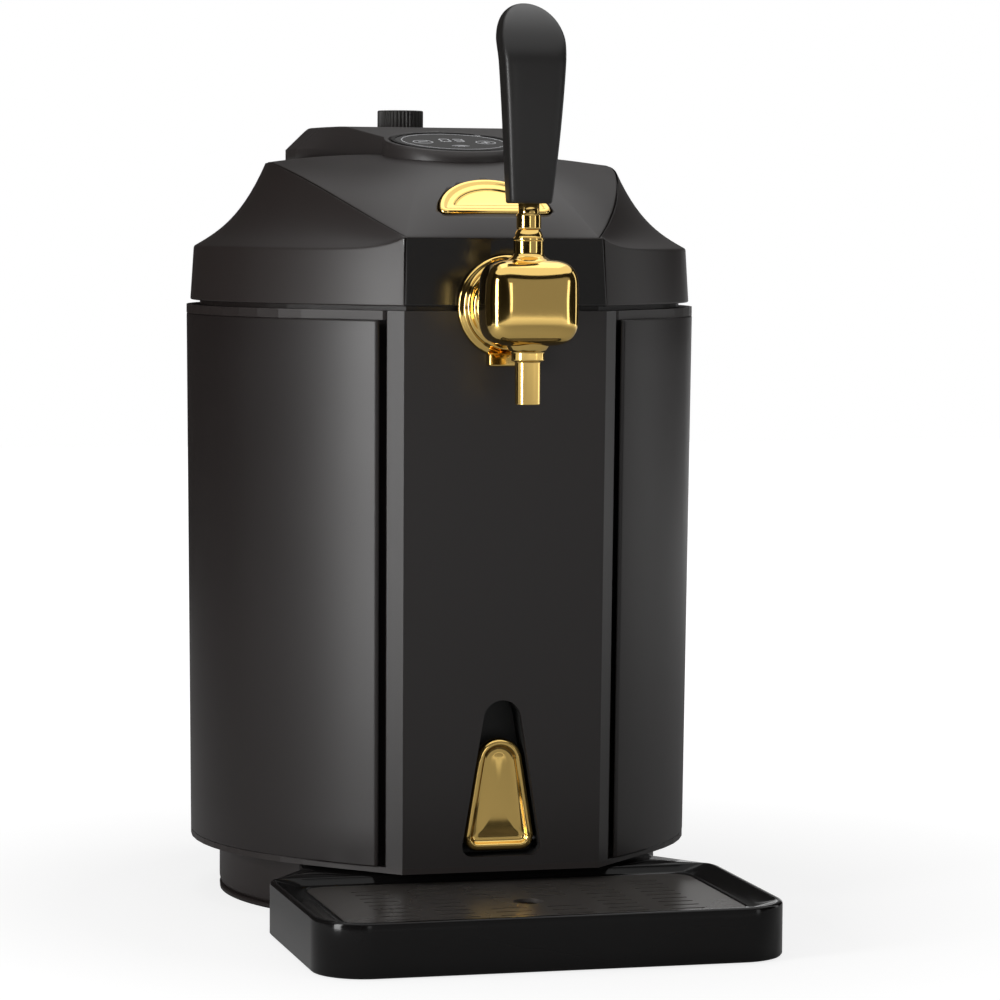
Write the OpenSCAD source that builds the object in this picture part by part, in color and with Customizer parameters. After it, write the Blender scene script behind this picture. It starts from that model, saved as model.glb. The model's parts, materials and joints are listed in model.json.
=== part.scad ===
// Mini keg beer dispenser: a round cooled drum for a 5 litre keg, with a domed
// hinged lid, a front tap, a pull lever in the front panel and a drip tray.
// The drum axis is the Z axis of every module, the front faces -Y, and at_frame()
// moves the whole object so that the middle of its footprint lies on the origin.

/* [Keg and insulation] */
// Diameter of the keg that goes in
keg_d = 172; // [140:1:230]
// Height of the keg that goes in
keg_h = 250; // [200:1:320]
// Radial clearance between keg and chamber wall
keg_gap = 2; // [1:0.5:5]
// Wall of the cooling chamber
chamber_t = 1.2; // [0.8:0.1:2.5]
// Radial thickness of the foam jacket
foam_t = 38.3; // [32:0.1:50]
// Height of the chamber floor above the table
chamber_floor_z = 50; // [46:1:70]

/* [Body shell] */
// Wall of the inner plastic frame
frame_t = 2.5; // [2:0.1:4]
// Thickness of the side sheets
sheet_t = 1.5; // [1:0.1:2.5]
// How much the body's radius shrinks from its top to its bottom lip
body_draft = 2.6; // [0:0.1:5]
// Width of the flat front panel
panel_w = 105; // [90:1:126]
// How far the flat front stands before the drum's round
panel_stand = 3.6; // [1:0.1:8]
// Depth of the front panel's channel
panel_depth = 9; // [7:0.5:12]
// Wall of the front panel
panel_t = 2.4; // [1.6:0.1:3]
// Width of the front panel over its bevelled edges
panel_edge_w = 119; // [110:1:140]
// Width of each groove between the front panel and a side sheet
groove_w = 4; // [2:0.5:6]
// Width of the rear opening between the side sheets
rear_w = 168; // [140:1:180]
// Space between the keg's top and the seam under the head
head_space = 14.5; // [12:0.5:30]
// Height of the trim strip above the side sheets
trim_h = 4.6; // [3:0.1:8]
// Height of the lip below the side sheets
lip_h = 3; // [2:0.1:5]
// Clearance of the bottom lip above the table
base_clear = 29.6; // [24:0.1:36]

/* [Base] */
// Diameter of the plinth
plinth_d = 234; // [200:1:250]
// Wall of the plinth
plinth_t = 3; // [2:0.1:5]
// Diameter of a rubber foot
foot_d = 20; // [14:1:28]
// Height of a rubber foot
foot_h = 3.5; // [3:0.1:5]

/* [Head] */
// Height of the shadow gap between body and head
seam_gap = 2.4; // [1:0.1:4]
// How far the head stands back from the body at the seam
head_inset = 2; // [0:0.1:4]
// Height of the head's front face above the seam
head_front_h = 35.5; // [30:0.5:45]
// Height of the head's upright band at its sides above the seam
band_h = 29.5; // [24:0.5:36]
// Height of the crest above the seam at the sides and the rear
crest_h = 74; // [60:0.5:90]
// Height of the lid's middle above the seam
apex_h = 79; // [72:0.5:100]
// Radial distance from the chamber mouth to the crest
crest_step = 5; // [4:0.5:8]
// Wall of the head shell and the lid
head_t = 3; // [2.4:0.1:4]
// Gap round the lid
lid_gap = 0.8; // [0.4:0.1:1.5]
// Width of the ledge under the lid's rim
ledge_w = 4; // [3:0.5:4]

/* [Console] */
// Radius of the round display pod
pod_r = 37.5; // [35:0.5:44]
// Distance of the display's middle before the drum axis
pod_y = 28.6; // [24:0.1:34]
// Tilt of the display towards the front
pod_tilt = 9.2; // [4:0.1:14]
// Height of the display's middle above the seam
pod_h = 85.3; // [82:0.1:95]
// Radius of the display's glass
glass_r = 30.8; // [26:0.1:32]
// Height of the console's flat top above the seam
console_h = 94; // [90:0.5:104]
// Half width of the console at its rear
console_w = 66; // [56:1:72]
// Distance of the console's rear end behind the crest
console_tail = 22; // [20:0.5:26]
// Radius of the pressure knob
knob_r = 12.7; // [10:0.1:15]
// Height of the pressure knob
knob_h = 10.1; // [8:0.1:14]
// Number of flutes round the pressure knob
knob_flutes = 38; // [12:1:40]
// Position of the pressure knob before the crest's rear
knob_back = 0; // [0:0.5:8]

/* [Latch button] */
// Radius of the half-moon button
moon_r = 29.5; // [22:0.1:32]
// Travel of the button
moon_travel = 2.5; // [1.5:0.1:3]
// Gap round the button
moon_gap = 1; // [0.5:0.1:1.5]

/* [Tap] */
// Distance of the tap's upright axis before the front panel
tap_reach = 41.8; // [38:0.1:50]
// Height of the tap's middle above the seam
tap_rise = 2.5; // [2:0.5:6]
// Width of the tap body
tap_w = 48; // [40:1:56]
// Depth of the tap body
tap_d = 35; // [30:1:40]
// Height of the tap body
tap_h = 43; // [38:1:50]
// Rounding of the tap body's edges
tap_round = 12; // [6:0.5:14]
// Diameter of the wall flange
flange_d = 52; // [46:1:60]
// Radius of the shank that goes through the wall
shank_r = 9; // [7:0.1:9]
// Outer radius of the spout
spout_r = 6.2; // [5:0.1:8]
// Bore radius of the spout
spout_bore_r = 4.9; // [3.5:0.1:5]
// Height of the spout's tip above the table
spout_tip_z = 268.5; // [250:0.5:272]
// Outer radius of the lever collar
collar_r = 7.15; // [6.8:0.05:8]
// Radius of the lever's ball
ball_r = 4.6; // [4:0.05:5]
// Running clearance of ball, pins and shafts
run_gap = 0.05; // [0.03:0.01:0.08]
// Height of the handle
handle_h = 98; // [80:1:120]
// Width of the handle at its foot
handle_foot_w = 21.2; // [18:0.1:26]
// Greatest width of the handle
handle_top_w = 33.2; // [28:0.1:42]
// Greatest depth of the handle
handle_depth = 17; // [14:0.1:20]
// How far the handle bows to the front at its middle
handle_bow = 5; // [0:0.5:8]
// How far the handle's tip curls back from that bow
handle_curl = 15; // [0:0.5:20]

/* [Pull lever] */
// Height of the finger recess
recess_h = 79.6; // [70:0.1:90]
// Width of the finger recess at its foot
recess_w = 41; // [38:0.1:46]
// Width of the finger recess at its rounded top
recess_top_w = 19.6; // [18:0.1:24]
// Depth of the finger recess
recess_d = 21; // [19:0.5:26]
// Distance from the finger recess to the bottom lip
recess_low = 7.7; // [6:0.1:12]
// Clearance between the lever and the recess at its foot
lever_gap = 2.1; // [1.5:0.1:3]
// Height of the pull lever
lever_h = 57.5; // [48:0.1:62]
// Thickness of the pull lever
lever_t = 6; // [5:0.1:8]
// Radius of the lever's pin
lever_pin_r = 1.5; // [1.2:0.05:2]

/* [Drip tray] */
// Width of the drip tray
tray_w = 236; // [200:1:250]
// Distance of the tray's front before the front panel
tray_reach = 113.8; // [95:0.1:137]
// Height of the tray's rim
tray_h = 27.4; // [24:0.1:28]
// Wall of the tray
tray_t = 2.6; // [2:0.1:4]
// Radius of the tray's front corners
tray_round = 26; // [16:1:34]
// Width of the tray's sloping border
tray_border = 17.5; // [12:0.1:24]
// Depth of the grille's top below the rim
grille_drop = 4; // [3:0.1:6]
// Thickness of the grille
grille_t = 2; // [1.2:0.1:3]
// Number of slit columns in the grille
slit_cols = 6; // [3:1:7]
// Number of slit rows in the grille
slit_rows = 9; // [4:1:10]
// Length of one slit
slit_w = 18.3; // [12:0.1:24]
// Distance between the middles of two slit columns
slit_step = 28.4; // [26:0.1:32]
// Distance between two slit rows
slit_pitch = 9.9; // [6:0.1:10.2]
// Clearance of the tray behind the plinth
tray_gap = 2.5; // [1:0.5:5]

/* [Cooling] */
// Width and height of the heat sink
sink_w = 90; // [70:1:96]
// Number of cooling fins
sink_fins = 13; // [7:1:17]
// Width of the fan's frame
fan_w = 92; // [80:1:98]
// Depth of the fan's frame
fan_d = 25; // [15:1:26]
// Number of fan blades
fan_blades = 7; // [3:1:9]
// Height of the cooler's middle above the table
cooler_z = 175; // [150:1:190]
// How far the rear housing stands behind the drum
rear_reach = 30; // [28:1:45]

/* [Hidden] */
$fn = 64;

// Clearances that several pieces share
fit_gap = 0.3;
slide_gap = 0.4;
eps = 0.01;

// Radii from the chamber outwards
mouth_r = keg_d / 2 + keg_gap;
chamber_r = mouth_r + chamber_t;
frame_in_r = chamber_r + fit_gap + foam_t + fit_gap;
frame_r = frame_in_r + frame_t;
body_r = frame_r + body_draft + fit_gap + sheet_t;
front_reach = body_r + panel_stand;
frame_reach = front_reach - panel_depth;
panel_y = -front_reach;

// Heights
lip_z = base_clear;
sheet_z = lip_z + lip_h;
seam_z = chamber_floor_z + keg_h + head_space;
body_top_z = seam_z - seam_gap / 2;
trim_z = body_top_z - trim_h;
head_z = seam_z + seam_gap / 2;
deck_z = seam_z + 21.5;
deck_t = 3;
front_top_z = seam_z + head_front_h;
band_z = seam_z + band_h;
crest_z = seam_z + crest_h;
apex_z = seam_z + apex_h;

// Outline of the drum with its flat front, as a radius for each angle from the front
corner_a = atan(panel_w / 2 / front_reach);
function corner_dist(f) = f / cos(corner_a);
function touch_a(r, f) = corner_a + acos(r / corner_dist(f));
function outline_r(a, r, f) =
    abs(a) <= corner_a ? f / cos(a)
    : abs(a) < touch_a(r, f) ? r / cos(touch_a(r, f) - abs(a)) : r;
arc_steps = 22;
touch_0 = touch_a(body_r, front_reach);
half_angles = concat(
    [for (i = [1:2]) corner_a * i / 2],
    [for (i = [1:4]) corner_a + (touch_0 - corner_a) * i / 4],
    [for (i = [1:arc_steps]) touch_0 + (180 - touch_0) * i / arc_steps]);
ring_angles = concat([0], half_angles,
    [for (i = [len(half_angles) - 2:-1:0]) -half_angles[i]]);
ring_n = len(ring_angles);
function polar(a, r) = [r * sin(a), -r * cos(a)];
function at_height(p, z) = [p[0], p[1], z];

// Crest that borders the lid: straight along the front, round at the sides and rear
crest_r = mouth_r + crest_step;
crest_front = front_reach - 6;
crest_corner = crest_front / cos(corner_a);
crest_run = 135;
function crest_rad(a) =
    abs(a) <= corner_a ? crest_front / cos(a)
    : crest_r + (crest_corner - crest_r)
      * pow(max(0, 90 - abs(a)) / (90 - corner_a), 2.8);
function crest_height(a) =
    let (v = min(1, max(0, (crest_front - crest_rad(a) * cos(a)) / crest_run)))
    crest_z - (crest_z - front_top_z) * pow(1 - v, 1.5);

// Upper edge of the head's upright band, from the front corner down to the sides
function band_height(a) =
    band_z + (front_top_z - band_z)
    * (abs(a) <= corner_a ? 1 : exp(-(abs(a) - corner_a) / 4.5));
band_lean = 1.8;
front_lean = 3.2;

// Concave sweep between band and crest: s runs from 0 at the band to 1 at the crest
function sweep_rise(s) = (s + s * s * s) / 2;
function sweep_point(a, s) =
    let (r0 = outline_r(a, body_r - head_inset - band_lean, front_reach - front_lean))
    let (z0 = band_height(a))
    at_height(polar(a, r0 + (crest_rad(a) - r0) * s),
              z0 + (crest_height(a) - z0) * sweep_rise(s));

// Dome of the lid: rho runs from 0 in the middle to 1 at the border
function dome_height(a, rho) =
    crest_height(a) + (apex_z - crest_height(a)) * (1 - pow(rho, 3));
function dome_point(a, rho, drop) =
    at_height(polar(a, rho * (crest_rad(a) - lid_gap)), dome_height(a, rho) - drop);

// Console
pod_z = seam_z + pod_h;
console_z = seam_z + console_h;
console_low_z = crest_z + 3.4;
console_step = 4.6;
console_slope = 13;
console_rear_r = crest_r + console_tail;
console_rear_y = console_w - 3;
spigot_z = crest_z - 5.3;
spigot_r = crest_r - lid_gap - 4;
pod_rim = 1;
bezel_r = glass_r + 3.1;
bezel_h = 3;
knob_y = crest_r - knob_back;
spindle_r = 3;

// Hinge of the lid
hinge_y = crest_r + 11;
hinge_z = crest_z - 12.5;
hinge_r = 6;
hinge_pin_r = 2.5;
barrel_w = 36;
lug_w = 12;
lug_gap = 0.5;
relief_w = 2 * (console_w - 7);
notch_w = barrel_w + 2 * lug_w + 2 * lug_gap + 2;

// Latch button, in a frame whose Z axis is the outward normal of the dome
moon_y = -(crest_front - 14);
moon_z = dome_height(0, -moon_y / (crest_front - lid_gap)) + 0.3;
moon_tilt = 35;
moon_deep = 9;
cradle_deep = 14;

// Tap
tap_y = panel_y - tap_reach;
tap_z = seam_z + tap_rise + 1.5;
flange_z = seam_z + tap_rise - 1.4;
collar_z = tap_z + tap_h / 2;
pivot_z = collar_z + 9.8;
lever_z = collar_z + 22;
handle_z = lever_z + 5;
tower_w = 60;
tower_y = frame_reach - frame_t;
stem_r = 6.2;
skirt_r = collar_r + 0.3;
neck_r = 2.2;

// Finger recess and pull lever
recess_z = sheet_z + recess_low - lip_h;
recess_round = 5.5;
lever_pin_z = recess_z + 7;
lever_y = panel_y + 6.5;
lever_pin_y = lever_y + lever_t + 2.6;
cup_t = 1.5;
cup_gap = 0.2;
cup_y = -front_reach + body_draft + panel_t + 1;
pin_half = recess_w / 2 + cup_gap + 1;

// Drip tray
tray_y = panel_y - tray_reach;
tray_rear_r = plinth_d / 2 + tray_gap;
tray_side_y = -(plinth_d / 2 + 11);
tray_rear_y = -(plinth_d / 2 - 24);
tray_rear_w = tray_w - 49;
tray_z = 0.4;
grille_z = tray_h - grille_drop;
grille_w = tray_w - 2 * tray_border;
grille_front = tray_y + tray_border;
grille_rear = panel_y + 12.5;
grille_round = 12;
drain_r = 7.5;

// Cooling
cold_y = chamber_r + fit_gap + 10;
peltier_w = 40;
peltier_t = 3.8;
sink_y = cold_y + peltier_t + 2 * fit_gap;
sink_base = 5;
window_w = sink_w + 6;
fan_y = frame_r + 4;
sink_depth = fan_y - fit_gap - sink_y;
rear_y = body_r + rear_reach;
rear_t = 2.5;
flange_t = 1.6;
rear_z0 = 45;
rear_z1 = seam_z - 22;

// Shift that puts the middle of the footprint on the origin
frame_shift = -(tray_y + rear_y + flange_t) / 2;
module at_frame() translate([0, frame_shift, 0]) children();

// ---------------------------------------------------------------- helpers

// Plan outline of the drum with radius r and flat front at distance f
module outline(r, f) polygon([for (a = ring_angles) polar(a, outline_r(a, r, f))]);

// Closed skin through a list of rings; a ring is a list of ring_n points
module ring_skin(rings) {
    n = len(rings[0]);
    m = len(rings);
    points = [for (ring = rings) each ring];
    faces = [for (i = [0:m - 1], j = [0:n - 1], k = [0:1])
        let (p = i * n + j, q = i * n + (j + 1) % n,
             s = ((i + 1) % m) * n + j, t = ((i + 1) % m) * n + (j + 1) % n)
        k == 0 ? [p, s, t] : [p, t, q]];
    polyhedron(points, faces);
}

// Closed skin through rings between a lower and an upper pole
module pole_skin(low, rings, high) {
    n = len(rings[0]);
    m = len(rings);
    points = concat([low], [for (ring = rings) each ring], [high]);
    side = [for (i = [0:m - 2], j = [0:n - 1], k = [0:1])
        let (p = 1 + i * n + j, q = 1 + i * n + (j + 1) % n,
             s = 1 + (i + 1) * n + j, t = 1 + (i + 1) * n + (j + 1) % n)
        k == 0 ? [p, s, t] : [p, t, q]];
    foot = [for (j = [0:n - 1]) [0, 1 + j, 1 + (j + 1) % n]];
    top = [for (j = [0:n - 1])
        [m * n + 1, 1 + (m - 1) * n + (j + 1) % n, 1 + (m - 1) * n + j]];
    polyhedron(points, concat(side, foot, top));
}

// Cylinder along Y from y0 to y1, with its axis at height z
module y_cyl(r, y0, y1, z, x = 0)
    translate([x, y1, z]) rotate([90, 0, 0]) cylinder(r = r, h = y1 - y0);

// Cylinder along X from x0 to x1
module x_cyl(r, x0, x1, y, z)
    translate([x0, y, z]) rotate([0, 90, 0]) cylinder(r = r, h = x1 - x0);

// Box given by its lowest and highest corners
module block(low, high) translate(low) cube(high - low);

// Extrudes a 2D drawing of the XZ plane from y0 to y1
module wall_extrude(y0, y1)
    translate([0, y1, 0]) rotate([90, 0, 0]) linear_extrude(height = y1 - y0) children();

// Extrudes a plan drawing so that it keeps its size at the top and draws in below
module drafted(z0, z1) {
    k = (body_r - body_draft) / body_r;
    translate([0, 0, z0]) linear_extrude(height = z1 - z0, scale = 1 / k)
        scale(k) children();
}

// ---------------------------------------------------------------- base

module foot_places()
    for (a = [45:90:315]) rotate([0, 0, a]) translate([plinth_d / 2 - 18, 0, 0]) children();

module base_plinth() color([0.10, 0.095, 0.09]) {
    r = plinth_d / 2;
    round_r = 6;
    low = 1.5;
    difference() {
        rotate_extrude($fn = 120) difference() {
            union() {
                translate([r - 24, low + round_r]) square([24, lip_z - low - round_r]);
                translate([r - 24, low]) square([24 - round_r, round_r + eps]);
                translate([r - round_r, low + round_r]) circle(r = round_r);
            }
            translate([0, 0]) square([r - 24 + eps, lip_z]);
            translate([r - 24, 0]) square([24 - plinth_t, lip_z - plinth_t]);
        }
    }
    foot_places() translate([0, 0, foot_h])
        cylinder(r = foot_d / 2 + 1.5, h = lip_z - plinth_t - foot_h + eps);
}

module rubber_feet() color([0.05, 0.05, 0.05])
    foot_places() {
        cylinder(r1 = foot_d / 2 - 1, r2 = foot_d / 2, h = 1.2);
        translate([0, 0, 1.2 - eps]) cylinder(r = foot_d / 2, h = foot_h - 1.2 + eps);
    }

// ---------------------------------------------------------------- body

module shank_hole(y0, y1) y_cyl(shank_r + fit_gap, y0, y1, flange_z);

module recess_2d(inset) {
    top_r = recess_top_w / 2 - inset;
    foot_r = recess_round;
    foot_x = recess_w / 2 - foot_r - inset;
    hull() {
        translate([0, recess_z + recess_h - recess_top_w / 2]) circle(r = top_r, $fn = 32);
        for (s = [-1, 1]) translate([s * foot_x, recess_z + foot_r + inset])
            circle(r = foot_r, $fn = 24);
    }
}

module cooler_window(w, h, y0, y1)
    block([-w / 2, y0, cooler_z - h / 2], [w / 2, y1, cooler_z + h / 2]);

module body_frame() color([0.11, 0.10, 0.10]) {
    spigot_in = 3.3 + head_inset;
    difference() {
        union() {
            // bottom lip and floor
            translate([0, 0, lip_z]) linear_extrude(height = lip_h)
                outline(body_r - body_draft, front_reach - body_draft);
            // tub wall
            translate([0, 0, sheet_z]) linear_extrude(height = trim_z - sheet_z)
                difference() {
                    outline(frame_r, frame_reach);
                    outline(frame_in_r, frame_reach - frame_t);
                }
            // trim ring above the sheets
            translate([0, 0, trim_z]) linear_extrude(height = trim_h) difference() {
                outline(body_r, front_reach);
                outline(frame_in_r, frame_reach - frame_t);
                translate([-panel_edge_w / 2 - groove_w, -front_reach - 1])
                    square([panel_edge_w + 2 * groove_w, panel_depth + 1]);
            }
            // spigot that the head stands over
            translate([0, 0, body_top_z - eps])
                linear_extrude(height = deck_z - body_top_z) difference() {
                    outline(body_r - spigot_in - band_lean, front_reach - 3.3 - front_lean);
                    outline(body_r - spigot_in - band_lean - frame_t,
                            front_reach - 3.3 - front_lean - frame_t);
                }
            // upright plate behind the tap
            block([-tower_w / 2, -tower_y - frame_t, trim_z - 30],
                  [tower_w / 2, -tower_y + 2, deck_z]);
        }
        shank_hole(-front_reach - 1, -frame_reach + 20);
        cooler_window(window_w, window_w, 60, body_r);
        wall_extrude(-front_reach + 4, -frame_reach + 8) recess_2d(-cup_t - cup_gap - fit_gap);
    }
}

// Plan of one side sheet with its folded front edge; side is -1 or 1
module sheet_2d(side) {
    x0 = panel_edge_w / 2 + groove_w;
    intersection() {
        union() {
            difference() {
                outline(body_r, front_reach);
                outline(body_r - sheet_t, front_reach - sheet_t);
                translate([-x0, -front_reach - 1]) square([2 * x0, front_reach]);
                translate([-rear_w / 2 - 2.5, 0]) square([rear_w + 5, body_r + 1]);
            }
            intersection() {
                outline(body_r, front_reach);
                for (s = [-1, 1]) translate([s * x0 - (s < 0 ? sheet_t : 0), -front_reach + 6])
                    square([sheet_t, 11.5]);
            }
        }
        translate([side < 0 ? -body_r - 1 : 0, -front_reach - 1])
            square([body_r + 1, front_reach + body_r + 2]);
    }
}

module side_panel_left() color([0.20, 0.19, 0.18])
    drafted(sheet_z, trim_z) sheet_2d(-1);

module side_panel_right() color([0.20, 0.19, 0.18])
    drafted(sheet_z, trim_z) sheet_2d(1);

module panel_2d(inset) intersection() {
    outline(body_r - inset, front_reach - inset);
    translate([-panel_edge_w / 2 + inset, -front_reach - 1])
        square([panel_edge_w - 2 * inset, panel_depth + 0.6]);
}

module front_panel() color([0.08, 0.075, 0.07])
    difference() {
        drafted(sheet_z, body_top_z) difference() {
            panel_2d(0);
            translate([0, 0.5]) panel_2d(panel_t);
            translate([-panel_edge_w / 2 + panel_t, -frame_reach - 2])
                square([panel_edge_w - 2 * panel_t, 6]);
        }
        wall_extrude(-front_reach - 1, -frame_reach) recess_2d(0);
        shank_hole(-front_reach - 1, -frame_reach);
    }

module recess_cup() color([0.03, 0.03, 0.03])
    difference() {
        wall_extrude(cup_y, -front_reach + recess_d) recess_2d(-cup_t - cup_gap);
        wall_extrude(cup_y - 1, -front_reach + recess_d - cup_t) recess_2d(-cup_gap);
        x_cyl(lever_pin_r, -pin_half, pin_half, lever_pin_y, lever_pin_z);
    }

module lever_pin() color([0.6, 0.6, 0.6])
    x_cyl(lever_pin_r, -pin_half, pin_half, lever_pin_y, lever_pin_z);

module lever_2d(inset) {
    foot_w = recess_w - 2 * lever_gap;
    slope = (recess_w - recess_top_w) / 2 / (recess_h - recess_top_w / 2);
    top_r = foot_w / 2 - slope * lever_h * 0.98 + 2.4;
    low = recess_z + lever_gap;
    hull() {
        translate([0, low + lever_h - top_r]) circle(r = top_r - inset, $fn = 32);
        for (s = [-1, 1]) translate([s * (foot_w / 2 - 6), low + 6])
            circle(r = 6 - inset, $fn = 24);
    }
}

module pull_lever() color([0.86, 0.66, 0.28])
    difference() {
        union() {
            hull() {
                wall_extrude(lever_y + 2.4, lever_y + lever_t - 0.5) lever_2d(0);
                wall_extrude(lever_y, lever_y + 1) lever_2d(2.6);
            }
            x_cyl(3.4, -11, 11, lever_pin_y, lever_pin_z);
            block([-11, lever_y + lever_t - 1, lever_pin_z - 3],
                  [11, lever_pin_y, lever_pin_z + 3]);
        }
        // hollow face between the bright edges
        translate([0, lever_y - 58.6, 0]) cylinder(r = 60, h = 200, $fn = 160);
        x_cyl(lever_pin_r + run_gap, -12, 12, lever_pin_y, lever_pin_z);
    }

// Torsion spring beside the lever's barrel
module lever_spring() color([0.7, 0.7, 0.7])
    translate([11.4, lever_pin_y, lever_pin_z]) rotate([0, 90, 0]) difference() {
        cylinder(r = 2.6, h = 4.2);
        translate([0, 0, -1]) cylinder(r = 1.8, h = 7);
    }

// ---------------------------------------------------------------- keg chamber

module keg_chamber() color([0.75, 0.76, 0.78])
    rotate_extrude($fn = 120) {
        translate([0, chamber_floor_z - chamber_t]) square([chamber_r, chamber_t]);
        translate([mouth_r, chamber_floor_z - chamber_t])
            square([chamber_t, deck_z + deck_t + chamber_t - chamber_floor_z + chamber_t]);
        translate([mouth_r, deck_z + deck_t]) square([8, chamber_t]);
    }

module foam_jacket() color([0.93, 0.91, 0.84])
    difference() {
        translate([0, 0, sheet_z + fit_gap])
            linear_extrude(height = body_top_z - sheet_z - 2 * fit_gap)
            outline(frame_in_r - fit_gap, frame_reach - frame_t - fit_gap);
        translate([0, 0, chamber_floor_z - chamber_t]) cylinder(r = chamber_r + fit_gap,
                                                               h = keg_h * 2, $fn = 120);
        cooler_window(window_w, window_w, 0, body_r);
        wall_extrude(-front_reach, -front_reach + recess_d + fit_gap)
            recess_2d(-3);
        block([-tower_w / 2 - 1, -tower_y - 4, trim_z - 31],
              [tower_w / 2 + 1, -tower_y + 31, deck_z]);
    }

module mouth_deck() color([0.16, 0.15, 0.15])
    difference() {
        union() {
            translate([0, 0, deck_z]) linear_extrude(height = deck_t)
                outline(body_r - head_inset - band_lean - 3.6, front_reach - front_lean - 3.6);
        }
        translate([0, 0, deck_z - 1]) cylinder(r = chamber_r + fit_gap, h = deck_t + 2,
                                               $fn = 120);
    }

// ---------------------------------------------------------------- head

module head_shell() color([0.15, 0.14, 0.135])
    difference() {
        ring_skin([
            head_ring(0, head_z),
            [for (a = ring_angles) sweep_point(a, 0)],
            [for (a = ring_angles) sweep_point(a, 0.2)],
            [for (a = ring_angles) sweep_point(a, 0.4)],
            [for (a = ring_angles) sweep_point(a, 0.6)],
            [for (a = ring_angles) sweep_point(a, 0.8)],
            [for (a = ring_angles) sweep_point(a, 1)],
            ledge_ring(0, head_t + 0.6),
            ledge_ring(ledge_w, head_t + 0.6),
            ledge_ring(ledge_w, 2 * head_t + 0.6),
            [for (a = ring_angles) under_sweep(a)],
            [for (a = ring_angles) under_band(a)],
            head_ring(head_t, head_z)]);
        shank_hole(-front_reach - 1, -frame_reach + 4);
        // opening for the hinge under the console's tail
        block([-notch_w / 2, crest_r - 12, deck_z + deck_t + 1],
              [notch_w / 2, hinge_y + 8, crest_z + 5]);
        // lowered crest that the lid's rear edge turns over
        block([-relief_w / 2, 0.7 * crest_r, crest_z - head_t - 0.6],
              [relief_w / 2, crest_r + 4, crest_z + 5]);
    }

function head_ring(inset, z) = [for (a = ring_angles)
    at_height(polar(a, outline_r(a, body_r - head_inset - inset, front_reach - inset)), z)];
function ledge_ring(inset, drop) = [for (a = ring_angles)
    at_height(polar(a, crest_rad(a) - inset), crest_height(a) - drop)];
function under_sweep(a) =
    let (p = sweep_point(a, 0.65), r = norm([p[0], p[1]]))
    at_height(polar(a, r - 2.5),
              min(p[2] - 4, crest_height(a) - 2 * head_t - 2));
function under_band(a) =
    let (r = outline_r(a, body_r - head_inset - band_lean - head_t,
                       front_reach - front_lean - head_t))
    at_height(polar(a, r), min(band_height(a) - 4, under_sweep(a)[2] - 2));

module hinge_bracket() color([0.55, 0.55, 0.56])
    difference() {
        union() {
            block([-barrel_w / 2 - lug_gap - lug_w, hinge_y - 7, deck_z + deck_t],
                  [barrel_w / 2 + lug_gap + lug_w, hinge_y + 6, deck_z + deck_t + 2.5]);
            for (s = [-1, 1]) {
                x0 = s > 0 ? barrel_w / 2 + lug_gap : -barrel_w / 2 - lug_gap - lug_w;
                block([x0, hinge_y - 5, deck_z + deck_t + 2], [x0 + lug_w, hinge_y + 5, hinge_z]);
                x_cyl(hinge_r, x0, x0 + lug_w, hinge_y, hinge_z);
            }
        }
        x_cyl(hinge_pin_r, -notch_w, notch_w, hinge_y, hinge_z);
    }

module hinge_pin() color([0.7, 0.7, 0.72])
    x_cyl(hinge_pin_r, -barrel_w / 2 - lug_gap - lug_w, barrel_w / 2 + lug_gap + lug_w,
          hinge_y, hinge_z);

// ---------------------------------------------------------------- lid

liner_top = spigot_z - 4.6;
liner_r = mouth_r - 5;
liner_low = deck_z + deck_t + chamber_t - 6;

module hinge_leaf() color([0.55, 0.55, 0.56])
    difference() {
        union() {
            x_cyl(hinge_r, -barrel_w / 2, barrel_w / 2, hinge_y, hinge_z);
            block([-barrel_w / 2, hinge_y - 44, liner_top + fit_gap],
                  [barrel_w / 2, hinge_y, liner_top + fit_gap + 2.5]);
        }
        x_cyl(hinge_pin_r + run_gap, -barrel_w, barrel_w, hinge_y, hinge_z);
    }

rho_steps = [0.2, 0.45, 0.65, 0.82, 0.93, 1];

module lid_panel() color([0.17, 0.16, 0.155])
    difference() {
        pole_skin([0, 0, apex_z - head_t],
            concat(
                [for (rho = rho_steps) [for (a = ring_angles) dome_point(a, rho, head_t)]],
                [for (i = [len(rho_steps) - 1:-1:0])
                    [for (a = ring_angles) dome_point(a, rho_steps[i], 0)]]),
            [0, 0, apex_z]);
        translate([0, 0, spigot_z - 30]) linear_extrude(height = 80)
            intersection() {
                console_2d(-fit_gap);
                circle(r = spigot_r + fit_gap, $fn = 96);
            }
        at_moon() translate([0, 0, -20]) linear_extrude(height = 40) moon_2d(-moon_gap);
    }

module lid_liner() color([0.82, 0.81, 0.78])
    difference() {
        union() {
            translate([0, 0, liner_low]) cylinder(r = liner_r, h = liner_top - liner_low,
                                                  $fn = 120);
            // bosses up to the dome
            for (a = [-135, -55, 55, 135]) {
                r = liner_r - 9;
                rho = r / (crest_rad(a) - lid_gap);
                translate(at_height(polar(a, r), liner_top - eps))
                    cylinder(r = 5, h = dome_height(a, rho) - head_t - 2.5 - liner_top);
            }
        }
        x_cyl(sleeve_r + fit_gap, -sleeve_len / 2 - fit_gap, sleeve_len / 2 + fit_gap,
              sleeve_y, sleeve_z);
        translate([0, 0, liner_low - 1]) difference() {
            cylinder(r = liner_r - 4, h = 6);
            cylinder(r = liner_r - 8, h = 6);
        }
    }

module lid_gasket() color([0.12, 0.12, 0.12])
    translate([0, 0, liner_low + 1.5]) rotate_extrude($fn = 120) {
        translate([liner_r + 0.1, 0]) square([1.6, 5]);
        translate([liner_r + 1.6, 0.8]) polygon([[0, 0], [1.9, -1.4], [1.9, -0.4], [0, 1.6]]);
    }

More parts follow.
